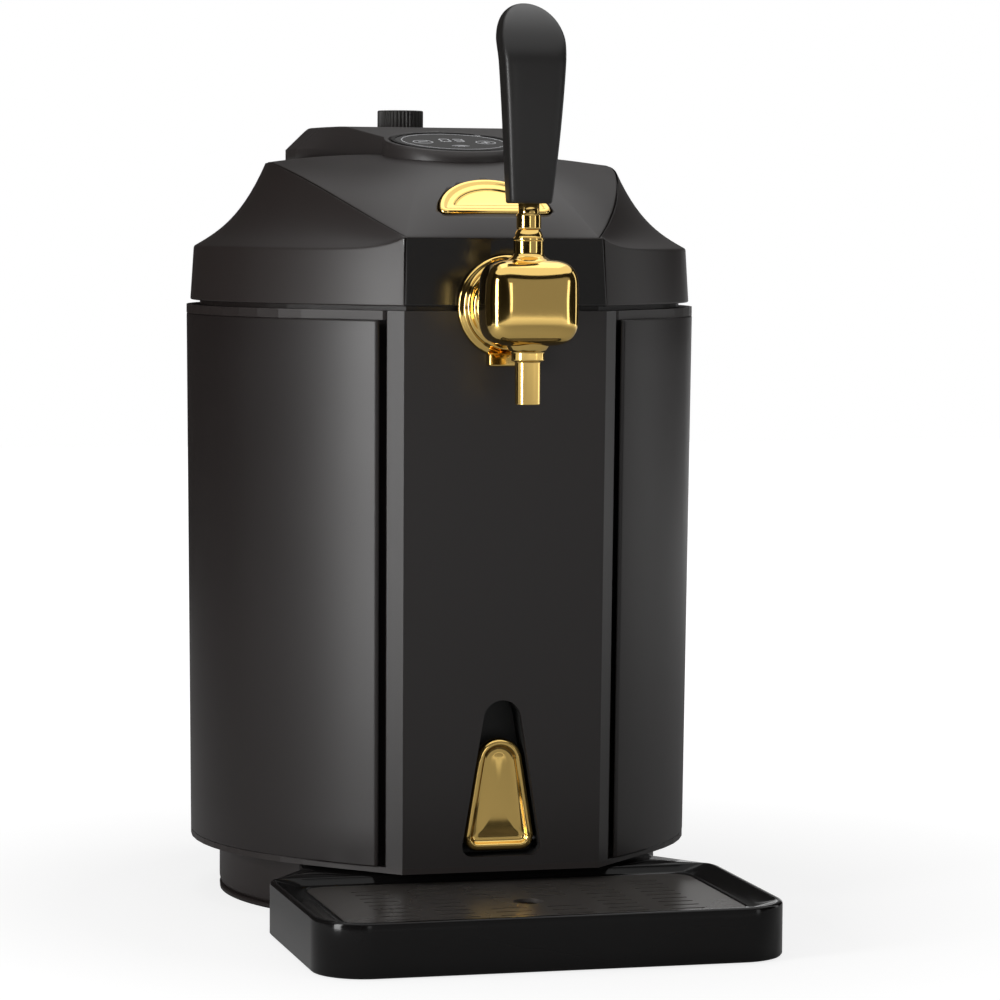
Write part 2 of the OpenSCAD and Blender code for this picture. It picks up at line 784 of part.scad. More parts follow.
// Plan of the console: a round pod in front and a wide arc at the rear
module console_rear_2d(inset) intersection() {
    circle(r = console_rear_r - inset, $fn = 96);
    translate([-console_w + inset, console_rear_y]) square([2 * (console_w - inset), 80]);
}

module console_2d(inset) hull() {
    translate([0, -pod_y]) circle(r = pod_r - inset, $fn = 72);
    console_rear_2d(inset);
}

// Plan of the console's flat top, drawn in from its foot by the slope of its sides
module console_top_2d(inset) {
    rear = console_w - console_slope - inset;
    front = rear - (console_w - pod_r) * 0.56;
    polygon([[-front, 14], [front, 14], [rear, console_rear_y], [rear, console_rear_r + 1],
             [-rear, console_rear_r + 1], [-rear, console_rear_y]]);
}

module at_pod() translate([0, -pod_y, pod_z]) rotate([pod_tilt, 0, 0]) children();

// Outer form of the console, drawn in by inset on every side; low is its lowest level
module console_form(inset, low, rear_low) hull() {
    translate([0, -pod_y, low]) cylinder(r = pod_r - inset, h = pod_z - 3 - low, $fn = 60);
    at_pod() translate([0, 0, -inset - 1]) cylinder(r = pod_r - pod_rim - inset, h = 1, $fn = 60);
    translate([0, 0, rear_low]) linear_extrude(height = console_step) console_rear_2d(inset);
    translate([0, 0, console_z - inset - 1]) linear_extrude(height = 1)
        intersection() {
            circle(r = console_rear_r - console_slope * 0.7 - inset, $fn = 48);
            console_top_2d(inset);
        }
}

module console_cover() color([0.15, 0.14, 0.135])
    difference() {
        console_form(0, spigot_z, console_low_z);
        difference() {
            console_form(2.6, spigot_z - 5, console_low_z + 2.2);
            // seat under the display
            at_pod() translate([0, 0, -10]) difference() {
                cylinder(r = pod_r + 4, h = 30);
                translate([0, 0, -1]) cylinder(r = bezel_r - 3, h = 32);
            }
        }
        at_pod() translate([0, 0, -bezel_h]) cylinder(r = bezel_r + fit_gap, h = 20);
        translate([0, knob_y, console_z - 8]) cylinder(r = spindle_r + fit_gap, h = 20);
    }

module display_bezel() color([0.02, 0.02, 0.02])
    at_pod() difference() {
        translate([0, 0, -bezel_h + 0.2]) union() {
            cylinder(r = bezel_r, h = bezel_h - 1);
            translate([0, 0, bezel_h - 1 - eps]) cylinder(r1 = bezel_r, r2 = bezel_r - 1, h = 1);
        }
        translate([0, 0, -1.6]) cylinder(r = glass_r + 0.1, h = 10);
        translate([0, 0, -10]) cylinder(r = glass_r - 1.5, h = 20);
    }

module display_glass() color([0.03, 0.03, 0.04])
    at_pod() translate([0, 0, -1.6 + 0.05]) cylinder(r = glass_r, h = 1.5);

module display_board() color([0.06, 0.25, 0.12])
    at_pod() translate([0, 0, -5.2]) {
        cylinder(r = glass_r - 2.2, h = 1.6);
        for (a = [20:60:320]) rotate([0, 0, a]) translate([16, 0, 1.6 - eps])
            translate([-2.5, -1.5, 0]) cube([5, 3, 1]);
        translate([-8, -5, 1.6 - eps]) cube([16, 10, 1.7]);
    }

module regulator_body() color([0.72, 0.72, 0.70]) {
    low = console_low_z + 2.6;
    top = console_z - 2.6 - fit_gap;
    block([-12, knob_y - 26, low], [12, knob_y + 4, top - 2]);
    translate([0, knob_y, low]) cylinder(r = 9, h = top - low);
    translate([0, knob_y, top - eps]) cylinder(r = spindle_r,
                                               h = console_z + knob_h - 3 - top);
    y_cyl(3.2, knob_y - 74, knob_y - 26 + eps, low + 5);
    translate([0, knob_y - 71, liner_top + fit_gap]) cylinder(r = 2.6,
                                                           h = low + 5 - liner_top - fit_gap);
}

module knob_2d() difference() {
    circle(r = knob_r);
    for (i = [0:knob_flutes - 1]) rotate(i * 360 / knob_flutes)
        translate([knob_r + 0.35, 0]) circle(r = 0.95, $fn = 16);
}

module pressure_knob() color([0.14, 0.13, 0.125])
    difference() {
        union() {
            translate([0, knob_y, console_z + fit_gap]) linear_extrude(height = knob_h - 1)
                knob_2d();
            translate([0, knob_y, console_z + fit_gap + knob_h - 1 - eps])
                cylinder(r1 = knob_r - 0.7, r2 = knob_r - 1.6, h = 1);
        }
        translate([0, knob_y, console_z]) cylinder(r = spindle_r + run_gap,
                                                   h = knob_h - 2.5);
    }

sleeve_r = 12;
sleeve_len = 98;
sleeve_y = 8;
sleeve_z = liner_low + 4;

module cartridge_sleeve() color([0.62, 0.63, 0.64])
    difference() {
        union() {
            x_cyl(sleeve_r, -sleeve_len / 2, sleeve_len / 2 - 9, sleeve_y, sleeve_z);
            x_cyl(sleeve_r - 0.8, sleeve_len / 2 - 9 - eps, sleeve_len / 2, sleeve_y, sleeve_z);
        }
        x_cyl(10.5, -sleeve_len / 2 + 3, sleeve_len / 2 - 3, sleeve_y, sleeve_z);
    }

// ---------------------------------------------------------------- latch

module at_moon() translate([0, moon_y, moon_z]) rotate([moon_tilt, 0, 0]) children();

module moon_2d(inset) intersection() {
    circle(r = moon_r - inset, $fn = 96);
    translate([-moon_r - 5, inset]) square([2 * moon_r + 10, moon_r + 10]);
}

module latch_button() color([0.88, 0.70, 0.33])
    at_moon() difference() {
        translate([0, 0, -moon_deep]) linear_extrude(height = moon_deep + 1) moon_2d(0);
        // stepped finger scoop
        for (i = [0:2]) translate([0, -1, -0.2 - 1.3 * i]) linear_extrude(height = 10)
            intersection() {
                circle(r = moon_r - 6.5 - 5.5 * i, $fn = 72);
                translate([-moon_r, 2]) square([2 * moon_r, moon_r]);
            }
    }

module button_cradle() color([0.13, 0.13, 0.13])
    at_moon() difference() {
        translate([0, 0, -cradle_deep]) linear_extrude(height = cradle_deep - head_t - 2.3)
            moon_2d(-moon_gap - 1.2);
        translate([0, 0, -cradle_deep + 1.4]) linear_extrude(height = 20)
            moon_2d(-slide_gap);
    }

module button_spring() color([0.75, 0.75, 0.75])
    at_moon() translate([0, moon_r * 0.42, -cradle_deep + 1.4 + 0.05]) difference() {
        cylinder(r = 5, h = cradle_deep - 1.4 - moon_deep - 0.1);
        translate([0, 0, -1]) cylinder(r = 3.8, h = 12);
    }

module latch_tongue() color([0.65, 0.65, 0.66]) {
    y0 = -(crest_front - ledge_w) + 0.8;
    ledge_low = front_top_z - 2 * head_t - 0.6;
    block([-12, y0, ledge_low - 4.1], [12, y0 + 1.2, front_top_z - 0.6]);
    block([-12, y0 - 2.4, ledge_low - 4.1], [12, y0 + eps, ledge_low - 2.1]);
    block([-12, y0 + 1.2 - eps, front_top_z - 1.8], [12, y0 + 16, front_top_z - 0.6]);
}

// ---------------------------------------------------------------- tap

module tap_flange() color([0.86, 0.66, 0.28])
    difference() {
        union() {
            y_cyl(flange_d / 2, panel_y - 4.4, panel_y - 0.3, flange_z);
            y_cyl(flange_d / 2 - 3.5, panel_y - 7.6, panel_y - 4.4 + eps, flange_z);
            y_cyl(flange_d / 2 - 8, panel_y - 10.4, panel_y - 7.6 + eps, flange_z);
            block([-10.5, panel_y - 6.6, flange_z - flange_d / 2 - 4],
                  [10.5, panel_y - 0.3, flange_z - flange_d / 2 + 6]);
        }
        y_cyl(shank_r + 0.05, panel_y - 20, panel_y + 2, flange_z);
    }

module tap_shank() color([0.72, 0.70, 0.62])
    difference() {
        union() {
            y_cyl(shank_r, panel_y - 12, -tower_y + 21, flange_z);
            y_cyl(5, -tower_y + 21 - eps, -tower_y + 29, flange_z);
            for (i = [0:2]) translate([0, -tower_y + 21.5 + 2.4 * i, flange_z])
                rotate([-90, 0, 0]) cylinder(r1 = 5.9, r2 = 5, h = 2.3);
        }
        y_cyl(3.4, panel_y - 13, -tower_y + 40, flange_z);
    }

module shank_nut() color([0.70, 0.68, 0.60])
    difference() {
        y_cyl(15, -tower_y + 2, -tower_y + 9, flange_z, $fn = 6);
        y_cyl(shank_r + 0.05, -tower_y, -tower_y + 12, flange_z);
    }

module tap_body() color([0.86, 0.66, 0.28]) {
    hx = tap_w / 2 - tap_round;
    hy = tap_d / 2 - tap_round;
    hz = tap_h / 2 - tap_round;
    difference() {
        union() {
            translate([0, tap_y - 1, tap_z]) hull()
                for (x = [-hx, hx], y = [-hy, hy], z = [-hz, hz])
                    translate([x, y, z]) sphere(r = tap_round, $fn = 24);
            // rear neck to the flange
            y_cyl(12, tap_y + tap_d / 2 - 6, panel_y - 10.4 - 0.05, flange_z);
            // flared seat of the lever collar
            translate([0, tap_y, 0]) rotate_extrude() difference() {
                translate([0, collar_z - 8]) square([11.4, 10]);
                translate([12.4, collar_z + 3]) circle(r = 5.2);
                translate([collar_r, collar_z + 1.6]) square([10, 10]);
            }
            // boss of the spout
            translate([0, tap_y, tap_z - tap_h / 2 - 2.6])
                cylinder(r1 = 8.6, r2 = 12.5, h = 5);
        }
        translate([0, tap_y, collar_z + 1.5]) cylinder(r = collar_r + 5, h = 8);
        y_cyl(shank_r + 0.05, panel_y - 12 - 0.05, panel_y, flange_z);
        // beer way from the shank to the spout
        y_cyl(3.4, tap_y - 3, panel_y, flange_z);
        translate([0, tap_y, spout_tip_z]) cylinder(r = spout_bore_r - 1.4,
                                                  h = flange_z - spout_tip_z);
    }
}

module tap_spout() color([0.86, 0.66, 0.28])
    translate([0, tap_y, 0]) difference() {
        union() {
            translate([0, 0, spout_tip_z]) cylinder(r = spout_r, h = tap_z - tap_h / 2 - 6
                                                                 - spout_tip_z);
            translate([0, 0, tap_z - tap_h / 2 - 7.2]) cylinder(r = 8.3, h = 4.6);
        }
        translate([0, 0, spout_tip_z - 1]) cylinder(r = spout_bore_r,
                                                    h = tap_z - spout_tip_z - tap_h / 2 - 4);
        cylinder(r = spout_bore_r - 1.4, h = tap_z);
    }

module lever_collar() color([0.86, 0.66, 0.28])
    translate([0, tap_y, 0]) difference() {
        union() {
            translate([0, 0, collar_z + 1.5]) cylinder(r = collar_r, h = pivot_z - collar_z - 1.5);
            intersection() {
                translate([0, 0, pivot_z]) sphere(r = collar_r);
                translate([0, 0, pivot_z - eps]) cylinder(r = 20, h = 20);
            }
        }
        translate([0, 0, pivot_z]) sphere(r = ball_r + run_gap);
        // slot for the lever's neck, from 31 degrees behind to 60 degrees before upright
        translate([0, 0, pivot_z]) rotate([0, 90, 0]) translate([0, 0, -neck_r - 0.3])
            rotate_extrude(angle = 91, start = 149) square([collar_r + 2, 2 * neck_r + 0.6]);
    }

module tap_lever() color([0.86, 0.66, 0.28])
    translate([0, tap_y, 0]) union() {
        translate([0, 0, pivot_z]) sphere(r = ball_r);
        translate([0, 0, pivot_z]) cylinder(r = neck_r, h = 9);
        difference() {
            translate([0, 0, pivot_z]) cylinder(r = stem_r, h = lever_z - pivot_z);
            translate([0, 0, pivot_z]) sphere(r = skirt_r);
            translate([0, 0, pivot_z - 10]) cylinder(r = 20, h = 10 + 2);
        }
        translate([0, 0, lever_z - eps]) cylinder(r = stem_r - 1, h = handle_z - lever_z);
        translate([0, 0, handle_z - 1]) cylinder(r = 3.9, h = 15);
    }

// Cross-section ring of the handle at height share t
handle_n = 24;
function handle_dome(t) = sqrt(max(0, 1 - pow(max(0, (t - 0.76) / 0.24), 2.4)));
function handle_half_w(t) =
    (handle_foot_w / 2 + (handle_top_w - handle_foot_w) / 2 * pow(min(1, t / 0.82), 0.85))
    * handle_dome(t) * (t < 0.02 ? 0.94 : 1);
function handle_half_d(t) =
    (handle_depth / 2 - 1.4 + 1.4 * sin(min(1, t / 0.7) * 90)) * handle_dome(t)
    * (t < 0.02 ? 0.92 : 1);
function soft(v, e) = sign(v) * pow(abs(v), e);
function handle_lean(t) = -handle_bow * sin(150 * t)
    + handle_curl * pow(max(0, (t - 0.7) / 0.3), 1.6);
function handle_ring(t) = [for (i = [0:handle_n - 1])
    let (a = (i + 0.5) * 360 / handle_n)
    [handle_half_w(t) * soft(cos(a), 0.5),
     tap_y + handle_lean(t) + handle_half_d(t) * soft(sin(a), 0.5),
     handle_z + handle_h * t]];
handle_steps = [0, 0.02, 0.14, 0.28, 0.42, 0.56, 0.68, 0.76, 0.83, 0.89, 0.94, 0.975, 0.993];

module tap_handle() color([0.12, 0.12, 0.12])
    difference() {
        pole_skin([0, tap_y, handle_z], [for (t = handle_steps) handle_ring(t)],
                  [0, tap_y + handle_lean(1), handle_z + handle_h]);
        translate([0, tap_y, handle_z - 1]) cylinder(r = 3.9, h = 15.2);
    }

// ---------------------------------------------------------------- drip tray

module tray_2d(inset) {
    r = tray_round;
    difference() {
        hull() {
            for (s = [-1, 1]) {
                translate([s * (tray_w / 2 - r), tray_y + r]) circle(r = r - inset, $fn = 72);
                translate([s * (tray_w / 2 - 8), tray_side_y - 8]) circle(r = 8 - inset,
                                                                       $fn = 32);
                translate([s * (tray_rear_w / 2 - 6), tray_rear_y - 6]) circle(r = 6 - inset,
                                                                            $fn = 24);
            }
        }
        circle(r = tray_rear_r + inset, $fn = 120);
    }
}

module grille_2d(inset) {
    r = grille_round;
    hull() for (s = [-1, 1], y = [grille_front + r, grille_rear - r])
        translate([s * (grille_w / 2 - r), y]) circle(r = r - inset, $fn = 48);
}

module drip_tray() color([0.05, 0.05, 0.05])
    difference() {
        translate([0, 0, tray_z]) linear_extrude(height = tray_h - tray_z) tray_2d(0);
        // sloping border, from the thin rim down to the grille
        hull() {
            translate([0, 0, tray_h]) linear_extrude(height = 1) border_2d(tray_t);
            translate([0, 0, grille_z]) linear_extrude(height = 1) border_2d(tray_border - 2.5);
        }
        // seat of the grille
        translate([0, 0, grille_z - grille_t]) linear_extrude(height = 20) grille_2d(-fit_gap);
        // well
        translate([0, 0, tray_z + tray_t]) linear_extrude(height = 30) grille_2d(4);
    }

// Front part of the tray inside its rim, closed by a straight line before the plinth
module border_2d(inset) intersection() {
    tray_2d(inset);
    translate([-tray_w, tray_y]) square([2 * tray_w, grille_rear + 5 - tray_y]);
}

module slit(w, h) {
    translate([-(w - h) / 2, -h / 2, 0]) cube([w - h, h, 3 * grille_t]);
    for (s = [-1, 1]) translate([s * (w - h) / 2, 0, 0]) cylinder(r = h / 2, h = 3 * grille_t,
                                                               $fn = 16);
}

slit_h = 1.9;
slit_first = grille_front + 10.6;

module drip_grille() color([0.24, 0.23, 0.22])
    difference() {
        translate([0, 0, grille_z - grille_t]) linear_extrude(height = grille_t) grille_2d(0);
        for (c = [0:slit_cols - 1], r = [0:slit_rows - 1]) {
            x = (c - (slit_cols - 1) / 2) * slit_step;
            y = slit_first + r * slit_pitch;
            if (abs(x) > drain_r + slit_w / 2 + 1 || abs(y - drain_y) > drain_r + 2)
                translate([x, y, grille_z - 2 * grille_t]) slit(slit_w, slit_h);
        }
        translate([0, drain_y, 0]) cylinder(r = drain_r, h = tray_h);
    }
drain_y = tap_y - 8;

module tray_catch() color([0.65, 0.65, 0.66]) {
    y0 = -tray_rear_r + tray_gap - 1.2 - 0.1;
    block([-9, y0, 10], [9, y0 + 1.2, tray_h + 1.2]);
    block([-9, y0 - tray_gap - 2.6, tray_h + 0.3], [9, y0 + eps, tray_h + 1.2]);
}

// ---------------------------------------------------------------- cooling

module cold_block() color([0.72, 0.73, 0.75])
    difference() {
        block([-25, chamber_r - 5, cooler_z - 25], [25, cold_y, cooler_z + 25]);
        translate([0, 0, cooler_z - 40]) cylinder(r = chamber_r + fit_gap, h = 80, $fn = 120);
    }

module peltier_module() color([0.92, 0.92, 0.88])
    block([-peltier_w / 2, cold_y + fit_gap, cooler_z - peltier_w / 2],
          [peltier_w / 2, cold_y + fit_gap + peltier_t, cooler_z + peltier_w / 2]);

module heat_sink() color([0.66, 0.67, 0.69]) {
    y0 = sink_y;
    block([-sink_w / 2, y0, cooler_z - sink_w / 2], [sink_w / 2, y0 + sink_base,
                                                   cooler_z + sink_w / 2]);
    pitch = (sink_w - 1.6) / (sink_fins - 1);
    for (i = [0:sink_fins - 1]) {
        x = -sink_w / 2 + i * pitch;
        block([x, y0 + sink_base - eps, cooler_z - sink_w / 2],
              [x + 1.6, y0 + sink_depth, cooler_z + sink_w / 2]);
    }
}

module fan_frame() color([0.08, 0.08, 0.08])
    difference() {
        union() {
            difference() {
                block([-fan_w / 2, fan_y, cooler_z - fan_w / 2],
                      [fan_w / 2, fan_y + fan_d, cooler_z + fan_w / 2]);
                y_cyl(fan_w / 2 - 2.5, fan_y - 1, fan_y + fan_d + 1, cooler_z);
            }
            for (i = [0:3]) translate([0, fan_y, cooler_z]) rotate([0, 45 + 90 * i, 0])
                block([15, 0, -2.5], [fan_w / 2 - 1, 2.4, 2.5]);
            y_cyl(17, fan_y, fan_y + 2.4, cooler_z);
            y_cyl(2, fan_y + 2.4 - eps, fan_y + fan_d - 4, cooler_z);
        }
        for (x = [-1, 1], z = [-1, 1])
            y_cyl(2.1, fan_y - 1, fan_y + fan_d + 1, cooler_z + z * (fan_w / 2 - 5),
                  x * (fan_w / 2 - 5));
    }

module fan_impeller() color([0.10, 0.10, 0.10]) {
    y0 = fan_y + 3.2;
    y1 = fan_y + fan_d - 1.4;
    difference() {
        union() {
            y_cyl(18, y0, y1, cooler_z);
            for (i = [0:fan_blades - 1]) translate([0, (y0 + y1) / 2, cooler_z])
                rotate([0, i * 360 / fan_blades, 0]) rotate([38, 0, 0])
                    block([16, -0.8, -(y1 - y0) * 0.56], [fan_w / 2 - 5, 0.8, (y1 - y0) * 0.56]);
        }
        y_cyl(2 + run_gap, y0 - 1, y1 - 2, cooler_z);
    }
}

module rear_2d(inset) difference() {
    hull() for (s = [-1, 1]) {
        translate([s * (rear_w / 2 - 14), rear_y - 14]) circle(r = 14 - inset, $fn = 48);
        translate([s * (rear_w / 2 - inset - 0.5) - 0.5, frame_r - 60])
            square([1, 4]);
    }
    circle(r = frame_r + fit_gap + inset * 1.2, $fn = 120);
}

module rear_housing() color([0.12, 0.115, 0.11])
    difference() {
        translate([0, 0, rear_z0]) linear_extrude(height = rear_z1 - rear_z0) rear_2d(0);
        difference() {
            translate([0, 0, rear_z0 + rear_t])
                linear_extrude(height = rear_z1 - rear_z0 - 2 * rear_t) rear_2d(rear_t);
            // bosses that the screws hold
            screw_places() y_cyl(4, frame_r, rear_y, 0);
        }
        // open front behind the cooler
        cooler_window(fan_w + 2, fan_w + 2, 100, fan_y + 3);
        // open front over the power board
        block([-54, 100, rear_z0 + 8], [54, frame_r + 6, rear_z0 + 58]);
        // outlet louvres
        for (i = [0:9]) translate([0, 0, cooler_z - 38 + i * 8.4])
            block([-vent_half(i), rear_y - 6, -2], [vent_half(i), rear_y + 1, 2]);
        // inlet slots at the sides
        for (s = [-1, 1], i = [0:7]) translate([0, 0, cooler_z - 44 + i * 12])
            block([s > 0 ? rear_w / 2 - 6 : -rear_w / 2 - 1, rear_y - 26, -2],
                  [s > 0 ? rear_w / 2 + 1 : -rear_w / 2 + 6, rear_y - 16, 2]);
        screw_places() y_cyl(1.6, frame_r, rear_y + 1, 0);
        inlet_cut(fit_gap);
    }
function vent_half(i) = sqrt(max(0, 44 * 44 - pow(-38 + i * 8.4, 2)));

module screw_places()
    for (x = [-1, 1], z = [rear_z0 + 10, (rear_z0 + rear_z1) / 2 + 40, rear_z1 - 10])
        translate([x * (rear_w / 2 - 14), 0, z]) children();

module housing_screws() color([0.55, 0.55, 0.56])
    screw_places() {
        translate([0, rear_y + flange_t, 0]) rotate([90, 0, 0]) difference() {
            cylinder(r = 3.4, h = flange_t);
            for (a = [0, 90]) rotate([0, 0, a]) translate([-2.2, -0.4, -0.1]) cube([4.4, 0.8, 0.9]);
        }
        y_cyl(1.5, rear_y - 14, rear_y + eps, 0);
    }

module power_board() color([0.07, 0.28, 0.13]) {
    y0 = frame_r + 12;
    z0 = rear_z0 + 12;
    block([-50, y0, z0], [20, y0 + 1.6, z0 + 42]);
    block([-44, y0 - 8, z0 + 6], [-20, y0 + eps, z0 + 30]);
    block([-12, y0 - 6, z0 + 8], [4, y0 + eps, z0 + 20]);
    for (x = [-46, 16], z = [z0 + 4, z0 + 38]) y_cyl(2.5, y0 + 1.6 - eps, rear_y - rear_t, z, x);
}

inlet_x = 50;
inlet_z = rear_z0 + 30;
module inlet_cut(gap) block([inlet_x - 14 - gap, rear_y - 20, inlet_z - 10 - gap],
                            [inlet_x + 14 + gap, rear_y + 1, inlet_z + 10 + gap]);

module power_inlet() color([0.06, 0.06, 0.06])
    difference() {
        union() {
            block([inlet_x - 14, rear_y - 18, inlet_z - 10], [inlet_x + 14, rear_y, inlet_z + 10]);
            block([inlet_x - 17, rear_y, inlet_z - 13], [inlet_x + 17, rear_y + flange_t,
                                                       inlet_z + 13]);
        }
        difference() {
            block([inlet_x - 11.5, rear_y - 14, inlet_z - 7.5], [inlet_x + 11.5, rear_y + 3,
                                                              inlet_z + 7.5]);
            for (x = [-7, 0, 7]) block([inlet_x + x - 1, rear_y - 15, inlet_z - 2],
                                       [inlet_x + x + 1, rear_y - 3, inlet_z + 2]);
        }
    }

// ---------------------------------------------------------------- nodes

at_frame() base_plinth();
at_frame() rubber_feet();
at_frame() body_frame();
at_frame() side_panel_left();
at_frame() side_panel_right();
at_frame() front_panel();
at_frame() recess_cup();
at_frame() lever_pin();
at_frame() pull_lever();
at_frame() lever_spring();
at_frame() keg_chamber();
at_frame() foam_jacket();
at_frame() mouth_deck();
at_frame() head_shell();
at_frame() hinge_bracket();
at_frame() hinge_pin();
at_frame() hinge_leaf();
at_frame() lid_panel();
at_frame() lid_liner();
at_frame() lid_gasket();
at_frame() console_cover();
at_frame() display_bezel();
at_frame() display_glass();
at_frame() display_board();
at_frame() pressure_knob();
at_frame() regulator_body();
at_frame() cartridge_sleeve();
at_frame() latch_button();
at_frame() button_cradle();
at_frame() button_spring();
at_frame() latch_tongue();
at_frame() tap_flange();
at_frame() tap_shank();
at_frame() shank_nut();
at_frame() tap_body();
at_frame() tap_spout();
at_frame() lever_collar();
at_frame() tap_lever();
at_frame() tap_handle();
at_frame() drip_tray();
at_frame() drip_grille();
at_frame() tray_catch();
at_frame() cold_block();
at_frame() peltier_module();
at_frame() heat_sink();
at_frame() fan_frame();
at_frame() fan_impeller();
at_frame() rear_housing();
at_frame() power_board();
at_frame() power_inlet();
at_frame() housing_screws();
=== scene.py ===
"""Looks of a mini keg beer dispenser, laid out as an add-on that is also run as a script."""
import json
import math

import bmesh
import bpy
import numpy as np
from bpy.props import FloatProperty, FloatVectorProperty, IntProperty, PointerProperty
from bpy.types import Operator, Panel, PropertyGroup
from mathutils import Matrix, Vector


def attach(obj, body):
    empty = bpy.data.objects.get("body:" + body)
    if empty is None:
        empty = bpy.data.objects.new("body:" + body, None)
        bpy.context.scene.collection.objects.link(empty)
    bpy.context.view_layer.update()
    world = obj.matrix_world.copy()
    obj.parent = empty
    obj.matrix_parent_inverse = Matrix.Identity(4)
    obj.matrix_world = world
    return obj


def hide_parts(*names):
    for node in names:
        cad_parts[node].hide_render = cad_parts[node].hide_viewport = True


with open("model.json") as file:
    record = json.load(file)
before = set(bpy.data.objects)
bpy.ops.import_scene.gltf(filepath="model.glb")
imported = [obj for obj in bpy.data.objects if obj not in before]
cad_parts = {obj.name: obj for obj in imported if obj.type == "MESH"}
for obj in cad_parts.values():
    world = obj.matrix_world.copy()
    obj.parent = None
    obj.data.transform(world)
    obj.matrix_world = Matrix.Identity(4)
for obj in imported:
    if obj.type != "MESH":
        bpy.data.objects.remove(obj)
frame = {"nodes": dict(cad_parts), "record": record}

bl_info = {
    "name": "Mini keg beer dispenser",
    "version": (1, 0, 0),
    "blender": (4, 5, 0),
    "location": "3D View > Sidebar > Dispenser",
    "description": "Builds the skins, finishes, light and camera of a mini keg beer dispenser",
    "category": "Object",
}

MM = 0.001
DEG = math.pi / 180


# ---------------------------------------------------------------- settings

def length(name, text, mm):
    return FloatProperty(name=name, description=text, default=mm * MM, unit="LENGTH", precision=5)


def angle(name, text, deg):
    return FloatProperty(name=name, description=text, default=deg * DEG, subtype="ANGLE")


def shade(name, text, *value):
    return FloatVectorProperty(name=name, description=text, default=value, size=3,
                               subtype="COLOR", min=0, max=1)


class DISPENSER_PG_colour(PropertyGroup):
    """Colours of the outside; each wanders between its two shades."""
    shell: shade("Shell", "Darker shade of head and lid", .017, .013, .012)
    shell_light: shade("Shell, light", "Lighter shade of head and lid", .021, .016, .015)
    face: shade("Front face", "Polished front face of the head", .007, .006, .0055)
    sheet: shade("Sheets", "Darker shade of the side sheets", .011, .0083, .0078)
    sheet_light: shade("Sheets, light", "Lighter shade of the side sheets", .015, .0113, .0108)
    panel: shade("Panel", "Darker shade of the front panel", .019, .0160, .0155)
    panel_light: shade("Panel, light", "Lighter shade of the front panel", .022, .0190, .0185)
    tray: shade("Tray", "Darker shade of tray and display ring", .006, .0055, .0055)
    tray_light: shade("Tray, light", "Lighter shade of tray and display ring", .008, .0075, .0075)
    handle: shade("Handle", "Darker shade of the tap handle", .013, .0120, .0115)
    handle_light: shade("Handle, light", "Lighter shade of the tap handle", .016, .015, .0145)
    grille: shade("Grille", "Darker shade of the grille", .11, .100, .092)
    grille_light: shade("Grille, light", "Lighter shade of the grille", .13, .118, .110)
    # The console is shell plastic; these shades are lighter than the shell's as painted light,
    # standing in for light reflected on its top.
    console: shade("Console", "Darker shade of the console", .030, .026, .025)
    console_light: shade("Console, light", "Lighter shade of the console", .036, .031, .030)
    gold: shade("Gold", "Darker shade of the gold metal", .89, .60, .18)
    gold_light: shade("Gold, light", "Lighter shade of the gold metal", .93, .64, .21)


class DISPENSER_PG_body(PropertyGroup):
    """Sizes of drum and head, measured from the drum axis and the table."""
    shift: length("Axis", "Distance of the drum axis behind the origin", 42.9)
    radius: length("Radius", "Radius of the drum at its top", 135)
    front: length("Front", "Distance of the flat front before the drum axis at the top", 138.6)
    draft: length("Draft", "How much the drum draws in to its bottom", 2.6)
    panel: length("Panel width", "Width of the flat front panel", 105)
    panel_edge: length("Panel edge", "Width of the front panel over its bevels", 119)
    groove: length("Groove", "Width of the groove beside the front panel", 4)
    low: length("Sheet foot", "Height of the lower edge of the side sheets", 32.6)
    high: length("Sheet top", "Height of the upper edge of the side sheets", 308.6)
    top: length("Body top", "Height of the body's upper edge", 313.3)
    head: length("Head foot", "Height of the head's lower edge", 315.7)
    front_top: length("Front top", "Height of the head's front face", 350)
    band: length("Band", "Height of the head's upright band at its sides", 344)
    crest: length("Crest", "Height of the crest at the sides", 388.5)
    crest_radius: length("Crest radius", "Radius of the crest at the sides and rear", 93)
    crest_front: length("Crest front", "Distance of the crest's straight front", 132.6)
    apex: length("Apex", "Height of the lid's middle", 393.5)
    gap: length("Lid gap", "Gap between lid and crest", 0.8)
    steps: IntProperty(name="Steps", description="Columns round the drum", default=360, min=60)


class DISPENSER_PG_console(PropertyGroup):
    """Sizes of the console on the lid."""
    pod_radius: length("Pod radius", "Radius of the display pod", 37.5)
    pod_y: length("Pod place", "Distance of the pod before the drum axis", 28.6)
    pod_z: length("Pod height", "Height of the display's middle", 399.8)
    tilt: angle("Tilt", "Tilt of the display to the front", 9.2)
    width: length("Width", "Width of the console at its rear", 132)
    rear: length("Rear", "Radius of the console's rear end", 115)
    shoulder: length("Shoulder", "Distance of the rear corners behind the drum axis", 63)
    step: length("Step", "Height of the upright edge at the rear", 6)
    top: length("Top", "Height of the flat top", 408.5)
    foot: length("Foot", "Height of the foot line at the rear", 390.4)
    low: length("Low", "Height of the sunk lower edge", 384)
    knob_y: length("Knob place", "Distance of the knob behind the drum axis", 93)
    knob_radius: length("Knob radius", "Radius of the knob", 12.7)
    knob_height: length("Knob height", "Height of the knob", 10.1)
    flutes: IntProperty(name="Flutes", description="Ribs round the knob", default=38, min=8)


